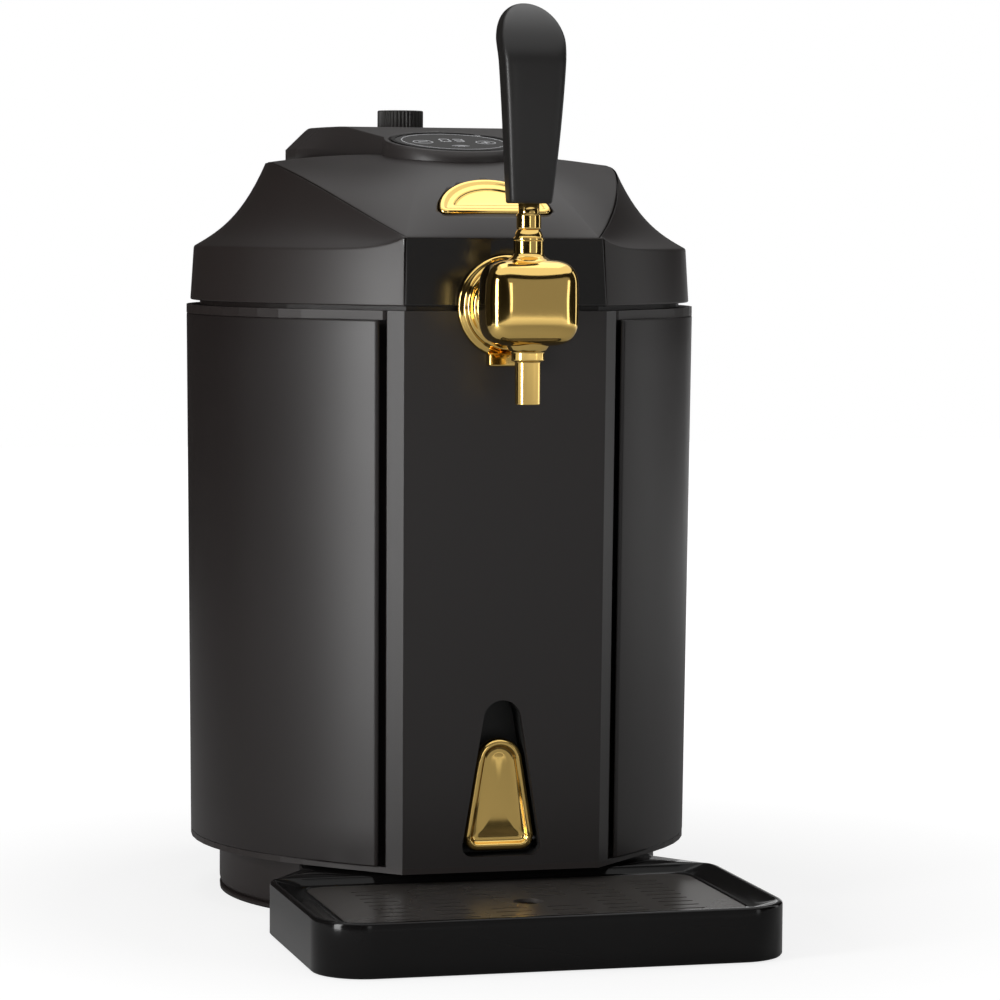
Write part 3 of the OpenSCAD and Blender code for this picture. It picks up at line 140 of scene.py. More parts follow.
class DISPENSER_PG_tap(PropertyGroup):
    """Sizes of tap and handle."""
    y: length("Axis", "Distance of the tap's axis before the drum axis", 180.4)
    z: length("Middle", "Height of the tap body's middle", 318.5)
    width: length("Width", "Width of the tap body", 48)
    depth: length("Depth", "Depth of the tap body", 35)
    height: length("Height", "Height of the tap body", 43)
    rounding: length("Rounding", "Radius of the tap body's edges", 12)
    flange_z: length("Flange height", "Height of the wall flange's middle", 315.6)
    flange: length("Flange", "Radius of the wall flange", 26)
    spout: length("Spout", "Height of the spout's tip", 268.5)
    collar: length("Collar", "Height of the lever's collar", 340)
    handle_low: length("Handle foot", "Height of the handle's foot", 367)
    handle: length("Handle", "Height of the handle", 98)
    bow: length("Bow", "How far the handle bows to the front", 5)
    curl: length("Curl", "How far the handle's tip curls back from that bow", 15)
    wall: length("Wall", "Distance of the front panel before the drum axis", 138.6)


class DISPENSER_PG_tray(PropertyGroup):
    """Sizes of drip tray and pull lever."""
    width: length("Width", "Width of the tray", 236)
    front: length("Front", "Distance of the tray's front before the drum axis", 252.4)
    height: length("Height", "Height of the tray's rim", 27.4)
    corner: length("Corner", "Radius of the front corners", 26)
    border: length("Border", "Width of the border round the grille", 17.5)
    drop: length("Drop", "Depth of the grille below the rim", 4)
    rear: length("Rear", "Radius of the hollow rear edge", 119.5)
    grille_rear: length("Grille rear", "Distance of the grille's rear edge", 126.1)


class DISPENSER_PG_stage(PropertyGroup):
    """Camera, floor and light."""
    camera: FloatVectorProperty(name="Camera", description="Place of the camera", size=3,
                                subtype="TRANSLATION", default=(-0.502767, -1.982018, 0.360264))
    lens: FloatProperty(name="Focal length", description="Focal length for a 36 mm sensor",
                        default=140.19, unit="CAMERA")
    yaw: angle("Yaw", "Turn of the camera towards +X", 14.851)
    pitch: angle("Pitch", "Turn of the camera below the level", 4.155)
    roll: angle("Roll", "Roll of the camera", 0.373)
    power: FloatProperty(name="Light", description="Scale of every light's power", default=1.0)


# ---------------------------------------------------------------- surfaces

def surface(name, grid, close_u=True, close_v=True):
    """Object of a grid of points [u, v] in metres round the drum axis: each four neighbours span
    one face, equal points are merged, and the faces look outwards. It rides on nothing."""
    nu, nv = grid.shape[:2]
    u, v = np.meshgrid(np.arange(nu - (not close_u)), np.arange(nv - (not close_v)), indexing="ij")
    after_u, after_v = (u + 1) % nu, (v + 1) % nv
    quads = np.stack([u * nv + v, after_u * nv + v, after_u * nv + after_v, u * nv + after_v], -1)
    points = grid.reshape(-1, 3) + np.array([0, bpy.context.scene.dispenser_body.shift, 0])
    mesh = bpy.data.meshes.new(name)
    mesh.from_pydata(points.tolist(), [], quads.reshape(-1, 4).tolist())
    work = bmesh.new()
    work.from_mesh(mesh)
    bmesh.ops.remove_doubles(work, verts=work.verts, dist=2e-6)
    bmesh.ops.dissolve_degenerate(work, edges=work.edges, dist=1e-7)
    bmesh.ops.recalc_face_normals(work, faces=work.faces)
    work.to_mesh(mesh)
    work.free()
    thing = bpy.data.objects.new(name, mesh)
    bpy.context.scene.collection.objects.link(thing)
    return thing


def grid_piece(name, grid, body, nodes, finish, close_u=True, close_v=True):
    """Smooth surface of that grid with a finish. It rides on body and stands for nodes."""
    piece = surface(name, grid, close_u, close_v)
    piece.data.polygons.foreach_set("use_smooth", [True] * len(piece.data.polygons))
    piece.data.update()
    piece.data.materials.append(bpy.data.materials[finish])
    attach(piece, body)
    if nodes:
        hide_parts(*nodes)
    return piece


def cut(piece, cutter):
    """Takes the closed mesh cutter out of piece and removes cutter."""
    step = piece.modifiers.new("cut", "BOOLEAN")
    step.operation = "DIFFERENCE"
    step.solver = "EXACT"
    step.object = cutter
    bpy.context.view_layer.update()
    graph = bpy.context.evaluated_depsgraph_get()
    mesh = bpy.data.meshes.new_from_object(piece.evaluated_get(graph))
    piece.modifiers.clear()
    piece.data = mesh
    bpy.data.objects.remove(cutter)
    if not mesh.polygons:
        raise RuntimeError(f"nothing is left of {piece.name} after its cut")


def fillet(corners, radii, steps=5, closed=True):
    """Profiles corners[station, corner, xy]: each corner turns into a quadratic curve that starts
    and ends its radius away from it; a radius of 0 keeps the point."""
    before, after = np.roll(corners, 1, 1), np.roll(corners, -1, 1)
    t = np.linspace(0, 1, steps)[None, :, None]
    out = []
    for j, radius in enumerate(radii):
        c = corners[:, j]
        if radius == 0 or (not closed and j in (0, len(radii) - 1)):
            out.append(c[:, None])
            continue
        ends = []
        for other in (before[:, j], after[:, j]):
            way = other - c
            size = np.linalg.norm(way, axis=1, keepdims=True) + 1e-12
            ends.append((c + way / size * np.minimum(radius, size * 0.48))[:, None])
        out.append((1 - t) ** 2 * ends[0] + 2 * t * (1 - t) * c[:, None] + t ** 2 * ends[1])
    return np.concatenate(out, 1)


def spun(profile, columns=96, centre=(0, 0, 0), axis="z"):
    """Profile [(radius, height)] turned round the axis: each point is centre + radius (cos, sin)
    + height."""
    profile = np.asarray(profile, float)
    a = np.linspace(0, 2 * math.pi, columns, endpoint=False)[:, None]
    r, h = profile[None, :, 0], profile[None, :, 1]
    x, y, z = r * np.cos(a), r * np.sin(a), h + 0 * a
    if axis == "y":
        x, y, z = x, z, y
    return np.stack([x, y, z], -1) + np.asarray(centre)


def turned(points, radii, steps=5):
    """Rounded open profile for spun, from corner points in metres."""
    return fillet(np.asarray(points, float)[None], radii, steps, closed=False)[0]


def rounded(corners, radii, steps=14):
    """Closed polygon whose corners are true arcs: each arc touches both sides of its corner."""
    corners = np.asarray(corners, float)
    out = []
    for j, radius in enumerate(radii):
        c, p, n = corners[j], corners[j - 1], corners[(j + 1) % len(corners)]
        d1, d2 = (p - c) / np.linalg.norm(p - c), (n - c) / np.linalg.norm(n - c)
        half = math.acos(np.clip(d1 @ d2, -1, 1)) / 2
        if radius <= 0:
            out.append(c[None])
            continue
        middle = c + (d1 + d2) / np.linalg.norm(d1 + d2) * radius / math.sin(half)
        start = c + d1 * radius / math.tan(half) - middle
        end = c + d2 * radius / math.tan(half) - middle
        a0, a1 = math.atan2(start[1], start[0]), math.atan2(end[1], end[0])
        turn = (a1 - a0 + math.pi) % (2 * math.pi) - math.pi
        a = a0 + turn * np.linspace(0, 1, steps)
        out.append(middle + radius * np.stack([np.cos(a), np.sin(a)], -1))
    return np.concatenate(out)


def star(polygon, centre, a):
    """Distance from centre to the polygon's border in each direction a (farthest crossing)."""
    p = polygon - centre
    q = np.roll(p, -1, 0)
    d = np.stack([np.cos(a), np.sin(a)], -1)
    e = (q - p)[None]
    den = d[:, None, 0] * e[..., 1] - d[:, None, 1] * e[..., 0]
    den = np.where(np.abs(den) < 1e-15, 1e-15, den)
    t = (p[None, :, 0] * e[..., 1] - p[None, :, 1] * e[..., 0]) / den
    s = (p[None, :, 0] * d[:, None, 1] - p[None, :, 1] * d[:, None, 0]) / den
    t = np.where((s >= -1e-9) & (s <= 1 + 1e-9) & (t > 0), t, 0)
    return t.max(1)


def soft_min(a, b, soft):
    """Lower of two values with a rounded change-over about soft wide."""
    low = np.minimum(a, b)
    return low - soft * np.log(np.exp(-(a - low) / soft) + np.exp(-(b - low) / soft))


# Outline of drum and head --------------------------------------------------

def corner_angle(p):
    return math.atan2(p.panel / 2, p.front)


def columns(p):
    """Angles round the drum, 0 at the front, closer together at the front corners."""
    c = corner_angle(p)
    a = np.linspace(-math.pi, math.pi, p.steps, endpoint=False)
    near = np.linspace(-0.03, 0.03, 17)
    return np.unique(np.round(np.concatenate([a, c + near, -c + near]), 7))


def outline(a, r, f, c, soft=0.25 * MM, join=60 * DEG):
    """Radius of a circle r with a flat front at f: front f/cos(a) up to the corner at angle c,
    then the wider arc that starts at that corner and touches the circle at the angle join, then
    r; the corner is rounded."""
    a = np.abs(a)
    flat = f / np.cos(np.minimum(a, c + 0.3))
    reach = f / math.cos(c)
    ahead = reach * math.cos(join - c)
    big = (reach ** 2 + r ** 2 - 2 * r * ahead) / (2 * (r - ahead))
    along = (r - big) * np.cos(join - a)
    arc = along + np.sqrt(np.maximum(0, big ** 2 - (r - big) ** 2 + along ** 2))
    side = np.where(a < join, arc, r)
    return np.where(a < c + 0.25, soft_min(flat, side, soft), side)


def crest_radius(a, p):
    """Straight front, then crest radius plus a bulge that fades with the power 2.8 to the side."""
    a = np.abs(a)
    c = corner_angle(p)
    wide = p.crest_front / math.cos(c) - p.crest_radius
    fade = np.maximum(0, math.pi / 2 - a) / (math.pi / 2 - c)
    side = p.crest_radius + wide * fade ** 2.8
    return soft_min(p.crest_front / np.cos(np.minimum(a, c + 0.3)), side, 0.3 * MM)


def crest_height(a, p):
    """Crest height less its drop to the front with the power 1.5 of the way from 135 mm behind."""
    v = np.clip((p.crest_front - crest_radius(a, p) * np.cos(a)) / 0.135, 0, 1)
    return p.crest - (p.crest - p.front_top) * (1 - v) ** 1.5


def eased(border, a, p):
    """Mean of the border's value over 26 degrees to each side, the near ones counting more."""
    ways = np.linspace(-26 * DEG, 26 * DEG, 53)
    weight = np.cos(ways / (26 * DEG) * math.pi / 2) ** 2
    around = (a[:, None] + ways + math.pi) % (2 * math.pi) - math.pi
    return (border(around, p) * weight).sum(1) / weight.sum()


def band_height(a, p):
    """Front height, fading to the side band's height with e to the minus angle over 4.5 degrees."""
    past = np.maximum(0, np.abs(a) - corner_angle(p))
    return p.band + (p.front_top - p.band) * np.exp(-past / (4.5 * DEG))


def to_xyz(a, profile):
    """Profiles [station, point, (radius, height)] at the angles a, 0 being the front."""
    r, z = profile[..., 0], profile[..., 1]
    return np.stack([r * np.sin(a)[:, None], -r * np.cos(a)[:, None], z], -1)


# ---------------------------------------------------------------- shaders

class Value:
    """A shader socket that can be calculated with."""

    def __init__(self, tree, socket):
        self.tree, self.socket = tree, socket

    def __add__(self, other):
        return self.tree.math("ADD", self, other)

    def __sub__(self, other):
        return self.tree.math("SUBTRACT", self, other)

    def __rsub__(self, other):
        return self.tree.math("SUBTRACT", other, self)

    def __mul__(self, other):
        return self.tree.math("MULTIPLY", self, other)

    __radd__ = __add__
    __rmul__ = __mul__


class Finish:
    """A new material, or a given world, and the nodes that feed its surface."""

    def __init__(self, name, world=None):
        owner = world or bpy.data.materials.new(name)
        owner.use_nodes = True
        self.material = owner
        self.nodes = owner.node_tree.nodes
        self.links = owner.node_tree.links
        self.nodes.clear()
        self.out = self.nodes.new("ShaderNodeOutput" + ("World" if world else "Material"))

    def feed(self, socket, value):
        if isinstance(value, Value):
            self.links.new(value.socket, socket)
        else:
            socket.default_value = value

    def node(self, kind, output=0, settings=(), **inputs):
        """A node with its settings and inputs; the value is one of its outputs."""
        made = self.nodes.new(kind)
        for key, value in dict(settings).items():
            setattr(made, key, value)
        for key, value in inputs.items():
            place = int(key[1:]) if key[1:].isdigit() else key.replace("_", " ")
            self.feed(made.inputs[place], value)
        return Value(self, made.outputs[output])

    def math(self, kind, a, b=0.0):
        return self.node("ShaderNodeMath", settings={"operation": kind}, i0=a, i1=b)

    def coordinates(self, stretch=(1, 1, 1)):
        where = self.node("ShaderNodeTexCoord", output="Object")
        return self.node("ShaderNodeMapping", Vector=where, Scale=stretch)

    def noise(self, scale, detail=2.0, stretch=(1, 1, 1)):
        return self.node("ShaderNodeTexNoise", Vector=self.coordinates(stretch), Scale=scale,
                         Detail=detail)

    def mix(self, factor, a, b):
        made = self.nodes.new("ShaderNodeMix")
        made.data_type = "RGBA"
        for place, value in ((0, factor), (6, a), (7, b)):
            self.feed(made.inputs[place], value)
        return Value(self, made.outputs[2])

    def ramp(self, value, low, high):
        return self.node("ShaderNodeMapRange", Value=value, From_Min=low, From_Max=high)

    def bump(self, height, strength, depth):
        return self.node("ShaderNodeBump", Height=height, Strength=strength, Distance=depth)

    def end(self, shader):
        """Ends in that shader."""
        self.feed(self.out.inputs["Surface"], shader)
        return self.material

    def close(self, **inputs):
        """Ends in one principled shader with these inputs."""
        return self.end(self.node("ShaderNodeBsdfPrincipled", **inputs))


def rgb(r, g, b):
    return (r, g, b, 1.0)


def grained(name, dark, light, rough, grain=1400.0, relief=0.25, coat=0.0, metal=0.0, ior=1.5):
    """Two close shades and a roughness that wander with noise, and a fine moulded grain."""
    f = Finish(name)
    cloud = f.noise(9.0, 3.0)
    fine = f.noise(grain, 2.0)
    return f.close(Base_Color=f.mix(cloud, dark, light), Roughness=f.ramp(cloud, 0.0, 1.0) * 0.08
                   + (rough - 0.04), Metallic=metal, IOR=ior, Coat_Weight=coat,
                   Coat_Roughness=0.05, Normal=f.bump(fine, relief, 0.00004))


def polished_front(c, p):
    """The head's finish: shell plastic, darker and glossier on the flat front below its top."""
    f = Finish("head")
    cloud, fine = f.noise(9.0, 3.0), f.noise(1400.0, 2.0)
    place = f.node("ShaderNodeTexCoord", output="Object")
    x, y, z = (f.node("ShaderNodeSeparateXYZ", output=k, i0=place) for k in range(3))
    front = (f.math("LESS_THAN", y, p.shift - p.front + 4.5 * MM)
             * f.math("LESS_THAN", f.math("ABSOLUTE", x), p.panel / 2 - 0.2 * MM)
             * f.math("LESS_THAN", z, p.front_top - 0.4 * MM))
    f.close(Base_Color=f.mix(front, f.mix(cloud, rgb(*c.shell), rgb(*c.shell_light)),
                             rgb(*c.face)),
            Roughness=front * -0.24 + (cloud * 0.08 + 0.38),
            Normal=f.bump(fine, 0.2, 0.00004))


def lit_mark():
    """Pale glow of the display's marks, uneven like print."""
    f = Finish("mark")
    soft = f.noise(300.0)
    f.close(Base_Color=f.mix(soft, rgb(.55, .56, .58), rgb(.70, .71, .73)), Roughness=0.3,
            Emission_Color=f.mix(soft, rgb(.5, .5, .52), rgb(.6, .6, .62)),
            Emission_Strength=0.35)


def brushed(name, dark, light, scale, stretch, rough):
    """Metal whose shade, roughness and relief follow one noise drawn out along an axis."""
    f = Finish(name)
    brush = f.noise(scale, 2.0, stretch)
    f.close(Base_Color=f.mix(brush, dark, light), Metallic=1.0, Roughness=brush * 0.2 + rough,
            Normal=f.bump(brush, 0.1, 0.0001))


class DISPENSER_OT_finishes(Operator):
    """Makes every finish"""
    bl_idname = "dispenser.finishes"
    bl_label = "Finishes"

    def execute(self, context):
        c = context.scene.dispenser_colour
        grained("shell", rgb(*c.shell), rgb(*c.shell_light), 0.42)
        polished_front(c, context.scene.dispenser_body)
        grained("sheet", rgb(*c.sheet), rgb(*c.sheet_light), 0.40, 2200.0, 0.15)
        grained("panel", rgb(*c.panel), rgb(*c.panel_light), 0.36, 2200.0, 0.12)
        grained("gloss", rgb(*c.tray), rgb(*c.tray_light), 0.13, 300.0, 0.04, ior=1.32)
        grained("handle", rgb(*c.handle), rgb(*c.handle_light), 0.40, 900.0, 0.1)
        grained("grille", rgb(*c.grille), rgb(*c.grille_light), 0.28, 600.0, 0.1, metal=0.4)
        # console: shell plastic painted lighter, a painted sheen of light reflected on its top
        grained("console", rgb(*c.console), rgb(*c.console_light), 0.42)
        grained("gold", rgb(*c.gold), rgb(*c.gold_light), 0.10, 60.0, 0.02, metal=1.0)
        grained("inner", rgb(.010, .010, .010), rgb(.016, .016, .016), 0.55)
        grained("knob", rgb(.020, .018, .016), rgb(.027, .024, .022), 0.42)
        grained("liner", rgb(.60, .58, .54), rgb(.68, .66, .62), 0.5)
        grained("foam", rgb(.70, .66, .54), rgb(.82, .78, .66), 0.9, 500.0, 0.9)
        grained("ceramic", rgb(.78, .78, .74), rgb(.86, .86, .82), 0.35)
        grained("board", rgb(.02, .08, .03), rgb(.03, .12, .05), 0.4, 300.0, 0.3)
        grained("rubber", rgb(.010, .010, .010), rgb(.018, .018, .018), 0.8, 500.0, 0.5)
        grained("glass", rgb(.004, .004, .005), rgb(.007, .007, .008), 0.05, 40.0, 0.01, coat=1.0)
        lit_mark()
        brushed("aluminium", rgb(.60, .61, .63), rgb(.72, .73, .75), 260.0, (1, 1, 30), 0.22)
        brushed("steel", rgb(.46, .46, .47), rgb(.60, .60, .61), 300.0, (20, 1, 1), 0.20)
        return {"FINISHED"}


SLOT_FINISH = {
    "shell_plastic": "shell", "panel_plastic": "panel", "side_metal": "sheet",
    "tray_plastic": "gloss", "grille_metal": "grille", "gold_chrome": "gold",
    "handle_plastic": "handle", "display_gloss": "gloss", "display_glass": "glass",
    "inner_plastic": "inner", "liner_plastic": "liner", "foam": "foam",
    "aluminium": "aluminium", "steel": "steel", "ceramic": "ceramic", "board": "board",
    "rubber": "rubber",
}


class DISPENSER_OT_carried(Operator):
    """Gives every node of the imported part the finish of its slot"""
    bl_idname = "dispenser.carried"
    bl_label = "Finishes of the packed nodes"

    def execute(self, context):
        slots = {s["node"]: s["material_slot"] for s in frame["record"]["subparts"]}
        for name, node in frame["nodes"].items():
            if name not in slots:
                raise RuntimeError(f"{name} has no material slot")
            node.data.materials.clear()
            node.data.materials.append(bpy.data.materials[SLOT_FINISH[slots[name]]])
        return {"FINISHED"}


# ---------------------------------------------------------------- pieces

class DISPENSER_OT_sheets(Operator):
    """Side sheets: the drum's outline swept straight down and drawn in"""
    bl_idname = "dispenser.sheets"
    bl_label = "Side sheets"

    def execute(self, context):
        p = context.scene.dispenser_body
        edge, rear, thick = p.panel_edge / 2 + p.groove, 86.5 * MM, 1.5 * MM
        c = corner_angle(p)
        a = np.linspace(0.1, math.pi, 6000)
        x = outline(a, p.radius, p.front, c) * np.sin(a)
        start = a[np.argmax(x >= edge)]
        end = a[np.argmax((a > math.pi / 2) & (x <= rear))]
        a = np.unique(np.concatenate([np.linspace(start, end, 220), [start, end]]))
        rows = np.concatenate([[p.low, p.low + .3 * MM, p.low + 1 * MM],
                               np.linspace(p.low, p.high, 14)[1:-1],
                               [p.high - 1 * MM, p.high - .3 * MM, p.high]])
        scale = 1 - p.draft / p.radius * (p.top - rows) / (p.top - p.low)
        plain = outline(a, p.radius, p.front, c)[:, None] * scale
        tuck = np.array([.5, .12] + [0] * (len(rows) - 4) + [.12, .5]) * MM
        roll = np.minimum(1, (a - start) / 0.012)[:, None]
        outside = plain - tuck - (1 - np.sqrt(1 - (1 - roll) ** 2)) * 0.9 * MM
        inside = plain - thick
        z = np.broadcast_to(rows, plain.shape)
        profile = np.stack([np.concatenate([outside, inside[:, ::-1]], 1),
                            np.concatenate([z, z[:, ::-1]], 1)], -1)
        for side, name in ((-1, "side_panel_left"), (1, "side_panel_right")):
            grid = to_xyz(side * a, profile)
            ends = grid.mean(1, keepdims=True)
            lead = np.repeat(ends[:1], grid.shape[1], 1)
            tail = np.repeat(ends[-1:], grid.shape[1], 1)
            grid_piece(name + "_skin", np.concatenate([lead, grid, tail]), "housing", [name],
                       "sheet", close_u=False)
        return {"FINISHED"}


class DISPENSER_OT_head(Operator):
    """Head shell: upright band, concave sweep up to the crest, and the ledge inside it.
    Between band (s = 0) and crest (s = 1) the radius is linear and the height rises by
    (s + s cubed) / 2."""
    bl_idname = "dispenser.head"
    bl_label = "Head shell"

    def execute(self, context):
        p = context.scene.dispenser_body
        c = corner_angle(p)
        a = columns(p)
        base = outline(a, p.radius - 2 * MM, p.front, c)
        band = outline(a, p.radius - 3.8 * MM, p.front - 3.2 * MM, c)
        bz, cr, cz = band_height(a, p), crest_radius(a, p), crest_height(a, p)
        inner = outline(a, p.radius - 5 * MM, p.front - 3 * MM, c)
        zero = np.zeros_like(a)
        points, radii = [(base, zero + p.head)], [0.9 * MM]
        points.append((band, bz))
        radii.append(1.1 * MM)
        for s in np.linspace(0, 1, 15)[1:-1]:
            points.append((band + (cr - band) * s, bz + (cz - bz) * (s + s ** 3) / 2))
            radii.append(0)
        points += [(cr, cz), (cr, cz - 3.4 * MM), (cr - 4 * MM, cz - 3.4 * MM),
                   (cr - 4 * MM, cz - 6.4 * MM)]
        radii += [0.9 * MM, 0.3 * MM, 0.3 * MM, 0]
        low = np.minimum(bz - 4 * MM, cz - 11 * MM)
        points += [(band - 3 * MM, low), (inner, zero + p.head)]
        radii += [0, 0]
        profile = np.stack([np.stack(q, -1) for q in points], 1)
        grid = to_xyz(a, fillet(profile, radii))
        piece = grid_piece("head_skin", grid, "housing", ["head_shell"], "head")
        # room for the hinge, and the lowered crest that the lid's rear edge turns over
        for name, low, high in (("notch", (-31.5, 81, 340), (31.5, 112, 396)),
                                ("relief", (-61, 65.1, 384.9), (61, 97, 395))):
            cut(piece, block(name, np.array(low) * MM, np.array(high) * MM))
        hole = spun([(0, -.143), (.0095, -.143), (.0095, -.12), (0, -.12)], 48,
                    (0, 0, context.scene.dispenser_tap.flange_z), "y")
        cut(piece, surface("shank", hole, close_v=False))
        return {"FINISHED"}


class DISPENSER_OT_rim(Operator):
    """Plinth rim: a thin dark ring turned round the drum axis, under the plinth, that fills the gap
    down to the floor: painted shade in place of the shadow in that gap
    """
    bl_idname = "dispenser.rim"
    bl_label = "Plinth rim"

    def execute(self, context):
        # dark ring from 0.6 mm to 3 mm high under the plinth: painted shade standing in for the
        # shadow in the gap
        rim = np.array([(.1135, .0024), (.1135, .0006), (.1168, .0006), (.11696, .0030),
                        (.1135, .0030), (.1135, .0024)])
        grid_piece("plinth_gap_shade_skin", spun(rim, 240), "housing", [], "shell",
                   close_v=False)
        return {"FINISHED"}


def block(name, low, high):
    """Helper box between two corners, as four-cornered rings."""
    ring = [(low[0], low[1]), (high[0], low[1]), (high[0], high[1]), (low[0], high[1])]
    mid = ((low[0] + high[0]) / 2, (low[1] + high[1]) / 2)
    rows = [[(*mid, low[2])] * 4, [(*q, low[2]) for q in ring], [(*q, high[2]) for q in ring],
            [(*mid, high[2])] * 4]
    return surface(name, np.transpose(np.array(rows), (1, 0, 2)), close_v=False)


def moon_frame(p):
    """Corner point and axes of the half-moon button's tilted plane."""
    y = -(p.crest_front - 14 * MM)
    rho = -y / (p.crest_front - p.gap)
    z = p.front_top + (p.apex - p.front_top) * (1 - rho ** 3) + 0.3 * MM
    tilt = 35 * DEG
    return (np.array([0, y, z]), np.array([0, math.cos(tilt), math.sin(tilt)]),
            np.array([0, -math.sin(tilt), math.cos(tilt)]))


def moon_prism(p, radius, low, high, back=0.0):
    """Half-disc of that radius in the button's plane, from low to high along its normal."""
    origin, up, out = moon_frame(p)
    flat = half_disc(radius, 0, 4.6 * MM) + np.array([0, back])
    ring = origin + flat[:, :1] * np.array([1, 0, 0]) + flat[:, 1:] * up
    mid = (origin + up * radius * 0.4)[None].repeat(len(ring), 0)
    return np.stack([mid + out * low, ring + out * low, ring + out * high, mid + out * high], 1)


class DISPENSER_OT_lid(Operator):
    """Lid dome: height = border + (apex - border)(1 - rho cubed), rho from 0 in the middle to 1
    at the border, with a rounded border and a hole for the button"""
    bl_idname = "dispenser.lid"
    bl_label = "Lid"

    def execute(self, context):
        p = context.scene.dispenser_body
        a = columns(p)
        cr, cz = crest_radius(a, p) - p.gap, crest_height(a, p)
        soft_r, soft_z = eased(crest_radius, a, p) - p.gap, eased(crest_height, a, p)
        rho = np.concatenate([np.linspace(0, .9, 24), np.linspace(.92, 1, 8)])
        near = rho ** 9
        r = (soft_r[:, None] + (cr - soft_r)[:, None] * near) * rho
        edge = soft_z[:, None] + (cz - soft_z)[:, None] * near
        top = np.stack([r, edge + (p.apex - edge) * (1 - rho ** 3)], -1)
        under = top[:, ::-1] - np.array([0, 3 * MM])
        profile = np.concatenate([top, under], 1)
        radii = [0] * (len(rho) - 1) + [0.7 * MM, 0.3 * MM] + [0] * (len(rho) - 1)
        grid = to_xyz(a, fillet(profile, radii, 5, closed=False))
        piece = grid_piece("lid_skin", grid, "lid", ["lid_panel"], "shell",
                           close_v=False)
        hole = moon_prism(p, 30.5 * MM, -20 * MM, 20 * MM, -1 * MM)
        cut(piece, surface("moon", hole, close_v=False))
        return {"FINISHED"}


def half_disc(radius, inset, corner):
    """Half-disc drawn in by inset: its two corners are circles that touch arc and base line."""
    corner, radius = max(corner - inset, .4 * MM), radius - inset
    reach = math.sqrt((radius - corner) ** 2 - (inset + corner) ** 2)
    lean = math.atan2(inset + corner, reach)
    right = np.stack([reach + corner * np.cos(t := np.linspace(-math.pi / 2, lean, 16)),
                      inset + corner + corner * np.sin(t)], -1)
    arc = np.stack([radius * np.cos(t := np.linspace(lean, math.pi - lean, 90)),
                    radius * np.sin(t)], -1)
    return np.concatenate([right, arc[1:-1], (right * [-1, 1])[::-1]])


class DISPENSER_OT_button(Operator):
    """Half-moon button: half-disc outlines at growing insets with rounded corners; its face falls
    inwards in two soft terraces"""
    bl_idname = "dispenser.button"
    bl_label = "Latch button"

    def execute(self, context):
        p = context.scene.dispenser_body
        origin, up, out = moon_frame(p)
        middle = np.array([0, 11 * MM])
        a = np.linspace(-math.pi, math.pi, 320, endpoint=False)
        rows = []
        for inset, level in ((0, -9), (0, -.4), (.15, .25), (.6, .8), (1.3, 1.1), (2.2, 1.1),
                             (3.0, .85), (3.6, .4), (4.2, .1), (5.2, 0), (6.6, -.05), (7.2, -.15),
                             (7.6, -.5), (8.0, -.9), (8.8, -1.05), (10, -1.15)):
            r = star(half_disc(29.5 * MM, inset * MM, 4.2 * MM), middle, a)
            flat = middle + r[:, None] * np.stack([np.cos(a), np.sin(a)], -1)
            rows.append(origin + flat[:, :1] * [1, 0, 0] + flat[:, 1:] * up + out * level * MM)
        ends = [np.broadcast_to(origin + middle[1] * up + out * z * MM, (320, 1, 3))
                for z in (-9, -1.3)]
        grid = np.concatenate([ends[0], np.stack(rows, 1), ends[1]], 1)
        grid_piece("button_skin", grid, "button", ["latch_button"], "gold",
                   close_v=False)
        return {"FINISHED"}


class DISPENSER_OT_console(Operator):
    """Console: over a plan that joins the round pod to the wide rear, its height is the soft
    lower of the display plane, the flat top and a slope that rises from the border"""
    bl_idname = "dispenser.console"
    bl_label = "Console"

    def execute(self, context):
        p = context.scene.dispenser_console
        w, rear = p.width / 2, p.rear
        pod = np.stack([p.pod_radius * np.sin(t := np.linspace(-1.9, 1.9, 60)),
                        -p.pod_y - p.pod_radius * np.cos(t)], -1)
        e = math.asin(w / rear)
        arc = np.stack([rear * np.sin(s := np.linspace(e, -e, 60)), rear * np.cos(s)], -1)
        corner = rounded([(pod[-1][0], pod[-1][1]), (w, p.shoulder), (w * .985, arc[0][1])],
                         [0, 6 * MM, 0])
        right = corner[(corner[:, 1] > pod[-1][1] + 1 * MM)]
        plan = np.concatenate([pod, right, arc[2:-2], (right * [-1, 1])[::-1]])
        centre = np.array([0, 0.02])
        a = np.linspace(-math.pi, math.pi, 320, endpoint=False)
        border = star(plan, centre, a)
        rho = np.concatenate([np.linspace(0, .75, 22), np.linspace(.77, 1, 34)])
        xy = centre + (border[:, None] * rho)[..., None] * np.stack([np.cos(a), np.sin(a)],
                                                                    -1)[:, None]
        x, y = xy[..., 0], xy[..., 1]
        away = (border[:, None] * (1 - rho))
        ease = np.clip((y + .045) / .10, 0, 1)
        ease = ease * ease * (3 - 2 * ease)
        foot = p.low + .006 + (p.foot + p.step - p.low - .006) * ease
        steep = 9 - 8.22 * ease
        side = foot + away * steep
        plane = p.pod_z + (y + p.pod_y) * math.tan(p.tilt)
        top = soft_min(plane, np.full_like(y, p.top), 0.7 * MM)
        z = soft_min(side, top, 0.8 * MM)
        disc = np.hypot(x, (y + p.pod_y) / math.cos(p.tilt))
        seat = np.clip((34.4 * MM - disc) / (0.5 * MM), 0, 1)
        z = np.where(disc < 34.4 * MM, z - seat * 3.2 * MM, z)
        grid = np.concatenate([xy, z[..., None]], -1)
        skirt = grid[:, -1:].copy()
        skirt[..., 2] = p.low + (p.foot - p.low) * ease[:, -1:]
        mid = np.array([0, .02, 0])[None, None].repeat(len(a), 0)
        mid[..., 2] = p.low + .004
        grid = np.concatenate([grid, skirt, mid], 1)
        # its finish is shell plastic painted lighter: painted reflected light on the console's top
        grid_piece("console_skin", grid, "lid", ["console_cover"], "console",
                   close_v=False)
        return {"FINISHED"}


